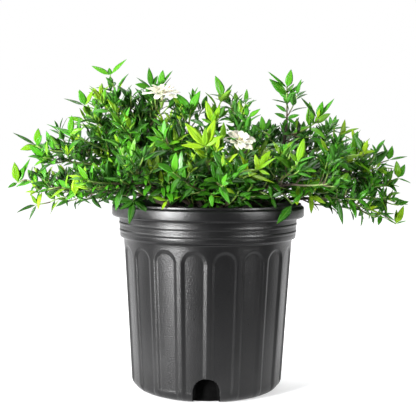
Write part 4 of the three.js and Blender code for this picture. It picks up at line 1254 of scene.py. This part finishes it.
def behind_notches(azimuth, height, radius, limit):
    """Presses an inner surface in behind each notch, from nothing at far to limit at near."""
    local = nearest_turn(azimuth, NOTCH["count"])
    outside = arch_distance(radius * local, height, NOTCH["width"] / 2, NOTCH["height"])
    near, far = BEHIND_NOTCH["near"], BEHIND_NOTCH["far"]
    share = np.clip((far - outside) / (far - near), 0, 1)
    return radius - np.maximum(radius - limit, 0) * share ** 2 * (3 - 2 * share)


def inside_radius(height):
    """The radius of the inner wall below the band: it widens evenly with height."""
    low, high = INSIDE["floor"] + 1.5 * INSIDE["round"], WALL["top"] - 2
    foot = WALL["foot_radius"] - INSIDE["rib_wall"]
    top = WALL["top_radius"] - INSIDE["rib_wall"]
    return foot + (top - foot) * (np.asarray(height, dtype=float) - low) / (high - low)


def nearest_turn(azimuth, count):
    """The angle from the nearest of a number of even turns."""
    pitch = 2 * np.pi / count
    return (azimuth + pitch / 2) % pitch - pitch / 2


def arch_distance(across, height, half, top):
    """How far a point is outside an arch: straight sides, under a half circle."""
    spring = top - half
    return np.where(height < spring, np.abs(across) - half,
                    np.hypot(across, height - spring) - half)


def pot_surface():
    """The pot as (rows, columns): radius and height turned about Z, with panels pressed in.

    A panel's depth grows evenly with how far inside its arch a point is. At a notch, the
    nearest grid points slide onto the arch's edge and those within it go in to a recess whose
    faces are painted dark as shade.
    """
    rows, wall_end = pot_rows()
    columns = PANEL["count"] * COLUMNS_PER_PANEL
    azimuth = np.arange(columns) * 2 * np.pi / columns
    radius = np.repeat(rows[:, :1], columns, axis=1)
    height = np.repeat(rows[:, 1:], columns, axis=1)
    azimuth = np.repeat(azimuth[None], len(rows), axis=0)
    on_wall = (np.arange(len(rows)) > 0) & (np.arange(len(rows)) < wall_end)
    on_wall = np.repeat(on_wall[:, None], columns, axis=1)

    across = radius * nearest_turn(azimuth, NOTCH["count"])
    half = NOTCH["width"] / 2
    spring = NOTCH["height"] - half
    outside = arch_distance(across, height, half, NOTCH["height"])
    near = on_wall & (np.abs(outside) < NOTCH["slide"])
    reach = np.maximum(np.hypot(across, height - spring), 1e-6)
    slide_across = np.where(height < spring, np.sign(across), across / reach)
    slide_up = np.where(height < spring, 0.0, (height - spring) / reach)
    azimuth = azimuth - np.where(near, outside * slide_across / np.maximum(radius, 1), 0)
    height = height - np.where(near & (height > WALL["foot_round"]), outside * slide_up, 0)
    within = on_wall & (outside < -NOTCH["slide"])

    pitch = 2 * np.pi / PANEL["count"]
    local = (azimuth - PANEL["first"] + pitch / 2) % pitch - pitch / 2
    share = np.clip(height / PANEL["top"], 0, 1)
    panel_half = (PANEL["foot_width"] + (PANEL["width"] - PANEL["foot_width"]) * share) / 2
    edge = arch_distance(radius * local, height, panel_half,
                         PANEL["top"] + panel_half - PANEL["width"] / 2)
    press = PANEL["depth"] * np.clip(-edge / PANEL["slope"], 0, 1)
    press = press * np.clip(height / WALL["foot_round"], 0, 1)
    radius = radius - np.where(on_wall, press, 0)
    radius = np.where(within, np.minimum(radius, NOTCH["inner"]), radius)
    inner = ~on_wall & (np.arange(len(rows)) > wall_end)[:, None]
    pressed = behind_notches(azimuth, height, radius, NOTCH["inner"] - BEHIND_NOTCH["gap"])
    radius = np.where(inner, pressed, radius)
    points = np.stack([radius * np.sin(azimuth), -radius * np.cos(azimuth), height], axis=-1)
    return points, within


# ------------------------------------------------------------------ operators

class GARDENIA_OT_pot(bpy.types.Operator):
    """Makes the moulded pot with its panels, notches, band and lip"""
    bl_idname = "gardenia.pot"
    bl_label = "Pot"

    def execute(self, context):
        points, within = pot_surface()
        rows, columns, _ = points.shape
        # The tint's first channel and the second material mark the notch recess for painted shade.
        tint = np.zeros((rows * columns + 2, 3))
        tint[:-2, 0] = within.ravel()
        beside = within | np.roll(within, -1, axis=1)
        recess = (beside[:-1] | beside[1:]).ravel()
        part = Part()
        ends = np.array([[[0, 0, 0], [0, 0, INSIDE["floor"]]]], dtype=float)
        part.add(points[None], ends, tint, number=recess)
        materials = [plastic_material(context.scene.gardenia_pot), recess_painted_shade_material()]
        made = part.build("nursery_pot", materials, "shade")
        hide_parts("pot")
        return {"FINISHED"}


class GARDENIA_OT_soil(bpy.types.Operator):
    """Makes the potting mix, with crumbs of bark on it"""
    bl_idname = "gardenia.soil"
    bl_label = "Potting mix"

    CRUMBS = 420

    def execute(self, context):
        material = soil_material()
        part = Part()
        self.add_bed(part)
        self.add_crumbs(part)
        made = part.build("potting_mix_bed", [material], "tint")
        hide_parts("soil")
        return {"FINISHED"}

    @staticmethod
    def top(x, y):
        """The height of the bed: a low dome with two crossed waves and small lumps."""
        edge = BAND["foot_radius"] - INSIDE["band_wall"] - SOIL["clearance"]
        share = np.clip(np.hypot(x, y) / edge, 0, 1)
        dome = SOIL["edge"] + (SOIL["crown"] - SOIL["edge"]) * (1 - share ** 2)
        lumps = 0.8 * np.sin(x / 4.1 + np.sin(y / 5.3)) * np.sin(y / 3.7)
        wave = SOIL["unevenness"] * np.sin(x / 13) * np.cos(y / 11)
        return dome + (wave + lumps) * np.clip((1 - share) * 8, 0, 1)

    def add_bed(self, part):
        gap = SOIL["clearance"]
        foot = WALL["foot_radius"] - INSIDE["rib_wall"] - gap
        edge = BAND["foot_radius"] - INSIDE["band_wall"] - gap
        sides = np.array([
            [foot - INSIDE["round"], INSIDE["floor"] + gap],
            [foot, INSIDE["floor"] + 1.5 * INSIDE["round"]],
            *[[inside_radius(height) - gap, height] for height in BEHIND_NOTCH["heights"][::-1]],
            [WALL["top_radius"] - INSIDE["rib_wall"] - gap, WALL["top"] - 2],
            [edge, BAND["foot"]], [edge, SOIL["edge"] - 1],
        ])
        rings = edge * np.linspace(1, 0.02, 44)
        columns = 144
        angle = np.arange(columns) * 2 * np.pi / columns
        radius = np.concatenate([sides[:, 0], rings])[:, None] * np.ones(columns)
        low = sides[:, 1:] * np.ones(columns)
        limit = NOTCH["inner"] - BEHIND_NOTCH["gap"] - gap
        radius[:len(sides)] = behind_notches(angle[None], low, radius[:len(sides)], limit)
        x, y = radius * np.sin(angle), -radius * np.cos(angle)
        height = np.concatenate([np.repeat(sides[:, 1:], columns, axis=1),
                                 self.top(x[len(sides):], y[len(sides):])])
        points = np.stack([x, y, height], axis=-1)[None]
        centre = float(self.top(np.zeros(1), np.zeros(1))[0])
        ends = np.array([[[0, 0, INSIDE["floor"] + gap], [0, 0, centre]]])
        part.add(points, ends)

    def add_crumbs(self, part):
        """Lumps of bark: squashed balls with random corners, half sunk in the bed."""
        rng = np.random.default_rng(SEED + 5)
        reach = 118 * np.sqrt(rng.uniform(0, 1, self.CRUMBS))
        angle = rng.uniform(0, 2 * np.pi, self.CRUMBS)
        x, y = reach * np.cos(angle), reach * np.sin(angle)
        keep = np.ones(self.CRUMBS, dtype=bool)
        for stem in STEMS.values():
            keep &= np.hypot(x - stem["foot"][0], y - stem["foot"][1]) > TRUNK["radius"] + 6
        x, y = x[keep], y[keep]
        count = len(x)
        stations = np.radians([-50, -10, 30, 62])
        around = np.arange(6) * np.pi / 3
        ball = np.stack([np.cos(stations)[:, None] * np.cos(around),
                         np.cos(stations)[:, None] * np.sin(around),
                         np.sin(stations)[:, None] * np.ones(6)], axis=-1)
        rough = 1 + 0.28 * rng.uniform(-1, 1, (count, 4, 6, 1))
        size = rng.uniform(1.2, 4.2, (count, 1, 1, 1)) * np.array([1.0, 1.0, 0.55])
        turn = rng.uniform(0, 2 * np.pi, count)
        local = ball[None] * rough * size
        stretch = rng.uniform(0.6, 1.5, count)[:, None, None]
        cos, sin = np.cos(turn)[:, None, None], np.sin(turn)[:, None, None]
        px = local[..., 0] * stretch * cos - local[..., 1] * sin
        py = local[..., 0] * stretch * sin + local[..., 1] * cos
        centre = np.stack([x, y, self.top(x, y) + 0.4], axis=-1)
        rings = np.stack([px, py, local[..., 2]], axis=-1) + centre[:, None, None]
        tall = size[:, 0, 0, 2]
        ends = np.stack([centre - tall[:, None] * UP, centre + tall[:, None] * UP], axis=1)
        part.add(rings, ends)


class GARDENIA_OT_stems(bpy.types.Operator):
    """Makes the woody stems, each with its trunk and branches"""
    bl_idname = "gardenia.stems"
    bl_label = "Woody stems"

    def execute(self, context):
        plant = context.scene.gardenia_plant
        material = bark_material(plant)
        rng = np.random.default_rng(plant.seed + 11)
        for name, stem in STEMS.items():
            part = Part()
            self.add_trunk(part, stem, rng)
            for branch in stem["branches"]:
                self.add_branch(part, branch_curve(name, branch), rng)
            made = part.build(f"stem_{name}", [material], "grain")
            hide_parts(f"woody_stem_{name}")
        return {"FINISHED"}

    def add_trunk(self, part, stem, rng):
        """An upright post, widest at its foot: radius falls with height, with lumps on it."""
        bottom = SOIL["crown"] - SOIL["hole"] + SEAT_GAP
        heights = np.linspace(bottom, TRUNK["top"] + 2, 16)
        share = (heights - bottom) / (TRUNK["top"] - bottom)
        radii = blend(TRUNK["radius"], TRUNK["top_radius"], share)
        radii[-1] *= 0.5
        path = np.stack([np.full(16, float(stem["foot"][0])), np.full(16, float(stem["foot"][1])),
                         heights], axis=1)
        self.add_rough_tube(part, path, radii, 16, rng)

    def add_branch(self, part, curve, rng):
        stations = int(curve.length / 4)
        shares = np.linspace(0, 1, stations)
        radii = blend(BRANCH["foot_radius"], BRANCH["tip_radius"], shares)
        radii = radii * (1 + 0.1 * rng.uniform(-1, 1, stations))
        knots = np.maximum(0, np.sin(shares * curve.length / 19 * 2 * np.pi)) ** 8
        self.add_rough_tube(part, curve.even(shares), radii * (1 + 0.28 * knots), 12, rng)

    @staticmethod
    def add_rough_tube(part, path, radii, sides, rng):
        rings = tube_rings(path, radii, sides)
        centre = path[:, None]
        rings = centre + (rings - centre) * (1 + 0.07 * rng.uniform(-1, 1,
                                                                    (len(path), sides, 1)))
        lengths = np.concatenate([[0], np.cumsum(np.linalg.norm(np.diff(path, axis=0), axis=1))])
        tint = np.zeros((len(path) * sides + 2, 3))
        mirrored = np.abs(np.arange(sides) / sides * 2 - 1)
        tint[:-2, 0] = np.tile(mirrored, len(path))
        tint[:-2, 1] = np.repeat(lengths / 40, sides)
        part.add(rings[None], np.stack([path[0], path[-1]])[None], tint)


def planned_shoots():
    """Every shoot in the solids' order, with its name, curve, turn and youth."""
    planned = []
    for stem, shoots in SHOOTS.items():
        for i, (branch, at, tip, sag, turn, young) in enumerate(shoots):
            planned.append({"name": f"shoot_{stem}_{i + 1:02d}", "turn": turn, "young": young,
                            "curve": twig_curve(stem, branch, at, tip, sag), "bloom": None})
    for i, bloom in enumerate(BLOOMS):
        where = [bloom[key] for key in ("stem", "branch", "at", "neck", "sag")]
        planned.append({"name": f"flower_shoot_{i + 1}", "turn": bloom["turn"], "young": False,
                        "curve": twig_curve(*where), "bloom": bloom})
    return planned


class GARDENIA_OT_shoots(bpy.types.Operator):
    """Makes every leafy shoot with its side twigs and whorls of leaves"""
    bl_idname = "gardenia.shoots"
    bl_label = "Leafy shoots"

    def execute(self, context):
        plant = context.scene.gardenia_plant
        leafy = leaf_material("leaf", plant, 0.5)
        young = leaf_material("young_leaf", plant, 0.3)
        bark = twig_material()
        for i, shoot in enumerate(planned_shoots()):
            stream = random_stream(plant.seed + 97 * i)
            look = np.random.default_rng(plant.seed + 1000 + i)
            part = Part()
            blades = self.dress(part, shoot, stream, look, plant)
            add_blades(part, blades)
            if shoot["bloom"]:
                self.add_calyx(part, shoot["bloom"])
            material = young if shoot["young"] else leafy
            made = part.build(f"leafy_{shoot['name']}", [material, bark], "tint")
            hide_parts(shoot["name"])
        return {"FINISHED"}

    @staticmethod
    def dress(part, shoot, stream, look, plant):
        """The leaves of a shoot, of the growth placed at its tip and of its side twigs."""
        curve = shoot["curve"]
        key = shoot["name"].removeprefix("shoot_")
        grows, top = TOP_LEAVES.get(key, (None, []))
        age = 0.1 if shoot["young"] else look.uniform(0.3, 0.6)
        ageing = 1.6 if shoot["young"] else 0.9
        add_twig(part, curve)
        whorls = 0 if shoot["bloom"] else WHORL["solid_whorls"]
        blades = dress_twig(curve, stream, look, shoot["turn"], age, plant, whorls, not top,
                            spacing_scale=1.25 if top else 1.1)
        if shoot["bloom"]:
            blades = [blade for blade in blades
                      if np.linalg.norm(blade["root"] - curve.points[-1]) > 9]
        end = curve.points[-1]
        if grows:
            grown = Curve(end, end + curve.tangent(1.0)[0] * 3, end + np.array(grows))
            add_twig(part, grown, 1.1 * TWIG["tip_radius"] / TWIG["foot_radius"])
            end = grown.points[-1]
        blades += [placed_blade(end, leaf, look) for leaf in top]
        for share, leaves in LOWER_LEAVES.get(key, []):
            blades += [placed_blade(curve.even(share)[0], leaf, look) for leaf in leaves]
        reach, count = SIDE_TWIGS.get(key, (0.62, 4) if top else (0.8, 5))
        for share in look.uniform(0.05, reach, count):
            twig = side_twig(curve, share, look, look.uniform(20, 38))
            if not clear_twig(twig):
                continue
            add_twig(part, twig, 0.7, 0.8)
            own_age = age + (1 - share) * ageing * 0.5 + look.uniform(-0.2, 0.2)
            blades += dress_twig(twig, None, look, look.uniform(0, 90), own_age, plant,
                                 scale=0.92, spacing_scale=0.85)
        return blades

    @staticmethod
    def add_calyx(part, bloom):
        """A cup with narrow lobes that stand off it."""
        neck, facing = np.array(bloom["neck"], dtype=float), unit(np.array(bloom["facing"]))
        across = unit(np.cross(facing, [1.0, 0.0, 0.0]))
        other = np.cross(facing, across)
        radius, height = CALYX["radius"], CALYX["height"]
        heights = np.array([-4.0, -2.0, 0.0, 2.0, 4.0, height])
        radii = radius * np.array([0.4, 0.5, 0.72, 0.95, 1.05, 1.0])
        add_tube(part, neck + heights[:, None] * facing, radii, 12, 1, 0.0, 0.0)
        lobes = []
        for i in range(CALYX["lobes"]):
            angle = 2 * math.pi * i / CALYX["lobes"]
            out = across * math.cos(angle) + other * math.sin(angle)
            along = unit(0.8 * out + facing)
            side, up = blade_frame(along, facing)
            lobes.append({
                "root": neck + out * radius * 0.65 + facing * height * 0.6, "along": along,
                "side": side, "up": up, "length": CALYX["lobe_length"],
                "half_width": CALYX["lobe_half_width"], "thickness": 0.5, "phase": 0.0,
                "wave": 0.0, "fold": 0.2, "camber": 0.1, "curl": 0.1, "bend": 0.0,
                "age": 0.3, "shade": 0.5,
            })
        add_blades(part, lobes)


class GARDENIA_OT_inner_leaves(bpy.types.Operator):
    """Makes the older leafy twigs that fill the plant between its outer shoots"""
    bl_idname = "gardenia.inner_leaves"
    bl_label = "Inner leaves"

    PER_BRANCH = 18

    def execute(self, context):
        plant = context.scene.gardenia_plant
        leafy = leaf_material("inner_leaf", plant, 0.45)
        bark = twig_material()
        for s, (stem, parts) in enumerate(STEMS.items()):
            look = np.random.default_rng(plant.seed + 3000 + s)
            part = Part()
            blades = []
            for branch in parts["branches"]:
                curve = branch_curve(stem, branch)
                far, count = INNER_TWIGS.get((stem, branch), (0.98, self.PER_BRANCH))
                for share in look.uniform(0.1, far, count):
                    twig = side_twig(curve, share, look, look.uniform(24, 58))
                    if not clear_twig(twig):
                        continue
                    blades += leafy_twig(part, twig, look, plant, (0.85, 1.0), (0.35, 0.95),
                                         scale=0.85, spacing_scale=0.8,
                                         lifts=LIFT["front" if stem == "front" else "later"])
            for carrier, branch, at, tip in FILL_TWIGS:
                if carrier == stem:
                    twig = self.bowed(stem, branch, at, tip, 8)
                    blades += leafy_twig(part, twig, look, plant, (1.0, 1.0), (0.05, 0.6),
                                         scale=0.9)
                    for share in look.uniform(0.2, 0.9, 3):
                        shoot = side_twig(twig, share, look, look.uniform(22, 40))
                        blades += leafy_twig(part, shoot, look, plant, (0.7, 1.0), (0.15, 0.75),
                                             scale=0.85)
            for carrier, branch, at, tip, leaves in RIM_TWIGS:
                if carrier == stem:
                    twig = self.bowed(stem, branch, at, tip, 6)
                    add_twig(part, twig)
                    blades += [placed_blade(twig.points[-1], leaf, look) for leaf in leaves]
            add_blades(part, blades)
            part.build(f"inner_leaves_{stem}", [leafy, bark], "tint")
        return {"FINISHED"}

    @staticmethod
    def bowed(stem, branch, at, tip, rise):
        """A twig from a branch to its tip, that rises a little more in the middle."""
        foot = branch_curve(stem, branch).even(at)[0]
        return Curve(foot, (foot + np.array(tip)) / 2 + rise * UP, tip)


class GARDENIA_OT_flowers(bpy.types.Operator):
    """Makes the open flowers, with their tubes, petals and anthers"""
    bl_idname = "gardenia.flowers"
    bl_label = "Flowers"

    def execute(self, context):
        plant = context.scene.gardenia_plant
        petal, anther = petal_material(context.scene.gardenia_flower), anther_material()
        for i, bloom in enumerate(BLOOMS):
            stream = random_stream(plant.seed + 7 * i)
            look = np.random.default_rng(plant.seed + 500 + i)
            part = Part()
            self.add_flower(part, bloom, stream, look)
            made = part.build(f"open_flower_{i + 1}", [petal, anther], "tint")
            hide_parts(f"flower_{i + 1}")
        return {"FINISHED"}

    def add_flower(self, part, bloom, stream, look):
        """A tube that swells to its throat, then the petals and anthers, turned to its facing."""
        reflex, bent, crumple = bloom["reflex"], 0.2 * bloom["reflex"], 0.3 * bloom["reflex"]
        facing = unit(np.array(bloom["facing"]))
        turn = np.array(Vector((0, 0, 1)).rotation_difference(Vector(facing)).to_matrix())
        neck = np.array(bloom["neck"]) + facing * (CALYX["height"] + SEAT_GAP)
        mouth = TUBE["mouth"]
        heights = np.array([0, 2, mouth - 2, mouth, mouth + 2, mouth + 4, mouth + 5.5])
        radii = np.array([0.9, 1, 1.2, 1.6, 2.2, 1.6, 0.9]) * TUBE["radius"]
        add_tube(part, neck + heights[:, None] * facing, radii, 14, 0, 0.02, 0.3)
        extra = even_stream(look)
        petals = []
        for ring in PETAL_RINGS:
            petals += self.ring(stream if ring["solid"] else extra, look, ring, bloom, bent)
        for blade in petals:
            blade["wave"] += look.uniform(0, 1) * crumple
            blade["bend"] += look.uniform(-0.5, 0.5) * crumple
            blade["age"] = 0.5 + reflex
        for blade in petals:
            for key in ("root", "along", "side", "up"):
                blade[key] = turn @ blade[key]
            blade["root"] = blade["root"] + neck
        add_blades(part, petals, PETAL)
        self.add_anthers(part, neck, turn, mouth, look)

    @staticmethod
    def ring(stream, look, ring, bloom, bent):
        """A ring of petals round the mouth of the tube, before it is turned."""
        lift = ring["lift"][0] + ring["lift"][1] * bent
        length = bloom["span"] * (ring["length"][0] + ring["length"][1] * bent)
        made = []
        for i in range(ring["count"]):
            angle = ring["first"] + 2 * math.pi * i / ring["count"] + 0.14 * (next(stream) - 0.5)
            rise = lift + 0.08 * (next(stream) - 0.5)
            size = length * (0.94 + 0.12 * next(stream))
            out = np.array([math.cos(angle), math.sin(angle), 0.0])
            along = unit(out * math.cos(rise) + UP * math.sin(rise))
            blade = drawn_blade("petal", look, out * 1.4 + UP * (TUBE["mouth"] + 1.5), along, UP,
                                size, size * bloom["half_width"], 0.5)
            blade["curl"] += 0.1 + bent
            made.append(blade)
        return made

    @staticmethod
    def add_anthers(part, neck, turn, mouth, look):
        """A club in the throat, and a thin anther between each pair of petals."""
        centre = neck + turn @ (UP * mouth)
        heights = np.linspace(2, 9, 8)
        radii = np.array([0.5, 0.6, 0.7, 1.1, 1.6, 1.7, 1.3, 0.5])
        add_tube(part, centre + heights[:, None] * (turn @ UP), radii, 10, 1)
        for i in range(ANTHERS["count"]):
            angle = (ANTHERS["first"] + 2 * math.pi * i / ANTHERS["count"]
                     + look.uniform(-0.1, 0.1))
            out = turn @ np.array([math.cos(angle), math.sin(angle), 0.0])
            start = centre + out * 1.6 + (turn @ UP) * 4.0
            reach = out * ANTHERS["reach"] + (turn @ UP) * ANTHERS["rise"]
            path = start + np.linspace(0, 1, 6)[:, None] * reach
            add_tube(part, path, np.array([0.25, 0.4, 0.5, 0.5, 0.4, 0.2]), 6, 1)


class GARDENIA_OT_stage(bpy.types.Operator):
    """Makes the floor, the softboxes, the room's light and the camera"""
    bl_idname = "gardenia.stage"
    bl_label = "Stage"

    CAMERA = {"distance": 1289.7, "height": 343.48, "down": 0.0634, "roll": 0.0102,
              "focal_px": 880.77, "axis_px": 208.12}
    IMAGE_PX = 416
    FLOOR_HALF_M = 8.0
    CLIP_M = (0.05, 60.0)
    AIM_M = (0, 0, 0.28)
    # Where each softbox is, and its width and height.
    SOFTBOXES_M = {
        "key": ((-1.32, -1.36, 0.48), (0.34, 1.05)), "side": ((-1.9, 0.1, 0.8), (1.2, 1.4)),
        "fill": ((1.41, -0.95, 0.7), (0.2, 1.0)), "top": ((-0.2, 0.85, 2.0), (1.6, 1.6)),
    }

    def execute(self, context):
        stage = context.scene.gardenia_stage
        self.add_floor(stage)
        for name, (at, size) in self.SOFTBOXES_M.items():
            self.add_softbox(f"{name}_softbox", at, size, getattr(stage, f"{name}_power"))
        self.light_room(stage)
        self.add_camera(context)
        context.scene.view_settings.view_transform = "Standard"
        return {"FINISHED"}

    def add_floor(self, stage):
        half = self.FLOOR_HALF_M
        mesh = bpy.data.meshes.new("floor")
        corners = [(-half, -half, 0), (half, -half, 0), (half, half, 0), (-half, half, 0)]
        mesh.from_pydata(corners, [], [(0, 1, 2, 3)])
        mesh.materials.append(floor_material(stage))
        floor = add_object("floor", mesh)

    def add_softbox(self, name, at, size, power):
        light = bpy.data.lights.new(name, "AREA")
        light.shape = "RECTANGLE"
        light.size, light.size_y = size
        light.energy = power
        made = add_object(name, light)
        made.location = at
        aim = Vector(self.AIM_M) - Vector(at)
        made.rotation_euler = aim.to_track_quat("-Z", "Y").to_euler()

    @staticmethod
    def light_room(stage):
        """A dim room, brighter overhead, before a white backdrop."""
        world = bpy.data.worlds.new("studio")
        bpy.context.scene.world = world
        world.use_nodes = True
        tree = Nodes(world.node_tree)
        background = tree.nodes["Background"]
        background.inputs["Color"].default_value = (*COLOURS["white"], 1.0)
        where = tree.node("ShaderNodeTexCoord", {})
        overhead = tree.axis(2, where)
        light = stage.room + overhead.step(0.1, 0.75) * stage.overhead
        seen = tree.node("ShaderNodeLightPath", {})
        strength = light + seen * (stage.backdrop - light)
        tree.links.new(strength.socket, background.inputs["Strength"])

    def add_camera(self, context):
        facts = self.CAMERA
        data = bpy.data.cameras.new("camera")
        data.lens = data.sensor_width * facts["focal_px"] / self.IMAGE_PX
        data.shift_x = (self.IMAGE_PX / 2 - facts["axis_px"]) / self.IMAGE_PX
        data.clip_start, data.clip_end = self.CLIP_M
        camera = add_object("camera", data)
        place = Matrix.Translation((0, -facts["distance"] * MM, facts["height"] * MM))
        tilt = Matrix.Rotation(math.pi / 2 - facts["down"], 4, "X")
        roll = Matrix.Rotation(facts["roll"], 4, "Z")
        camera.matrix_world = place @ tilt @ roll
        context.scene.camera = camera


class GARDENIA_PT_panel(bpy.types.Panel):
    """Lists the pieces and their settings"""
    bl_idname = "GARDENIA_PT_panel"
    bl_label = "Potted gardenia"
    bl_space_type = "VIEW_3D"
    bl_region_type = "UI"
    bl_category = "Gardenia"

    def draw(self, context):
        layout = self.layout
        for operator in OPERATORS:
            layout.operator(operator.bl_idname)
        for group in SETTINGS:
            settings = getattr(context.scene, group)
            box = layout.box()
            for name in settings.bl_rna.properties.keys():
                if name not in {"rna_type", "name"}:
                    box.prop(settings, name)


SETTINGS = {
    "gardenia_pot": PotSettings, "gardenia_plant": PlantSettings,
    "gardenia_flower": FlowerSettings, "gardenia_stage": StageSettings,
}
OPERATORS = (GARDENIA_OT_stage, GARDENIA_OT_pot, GARDENIA_OT_soil, GARDENIA_OT_stems,
             GARDENIA_OT_shoots, GARDENIA_OT_inner_leaves, GARDENIA_OT_flowers)


def register():
    for name, settings in SETTINGS.items():
        bpy.utils.register_class(settings)
        setattr(bpy.types.Scene, name, PointerProperty(type=settings))
    for made in (*OPERATORS, GARDENIA_PT_panel):
        bpy.utils.register_class(made)


def unregister():
    for made in reversed((*OPERATORS, GARDENIA_PT_panel)):
        bpy.utils.unregister_class(made)
    for name, settings in reversed(SETTINGS.items()):
        delattr(bpy.types.Scene, name)
        bpy.utils.unregister_class(settings)


def main():
    """Builds every piece in order."""
    register()
    bpy.ops.gardenia.stage()
    bpy.ops.gardenia.pot()
    bpy.ops.gardenia.soil()
    bpy.ops.gardenia.stems()
    bpy.ops.gardenia.shoots()
    bpy.ops.gardenia.inner_leaves()
    bpy.ops.gardenia.flowers()
    bpy.context.view_layer.update()


if __name__ == "__main__":
    main()
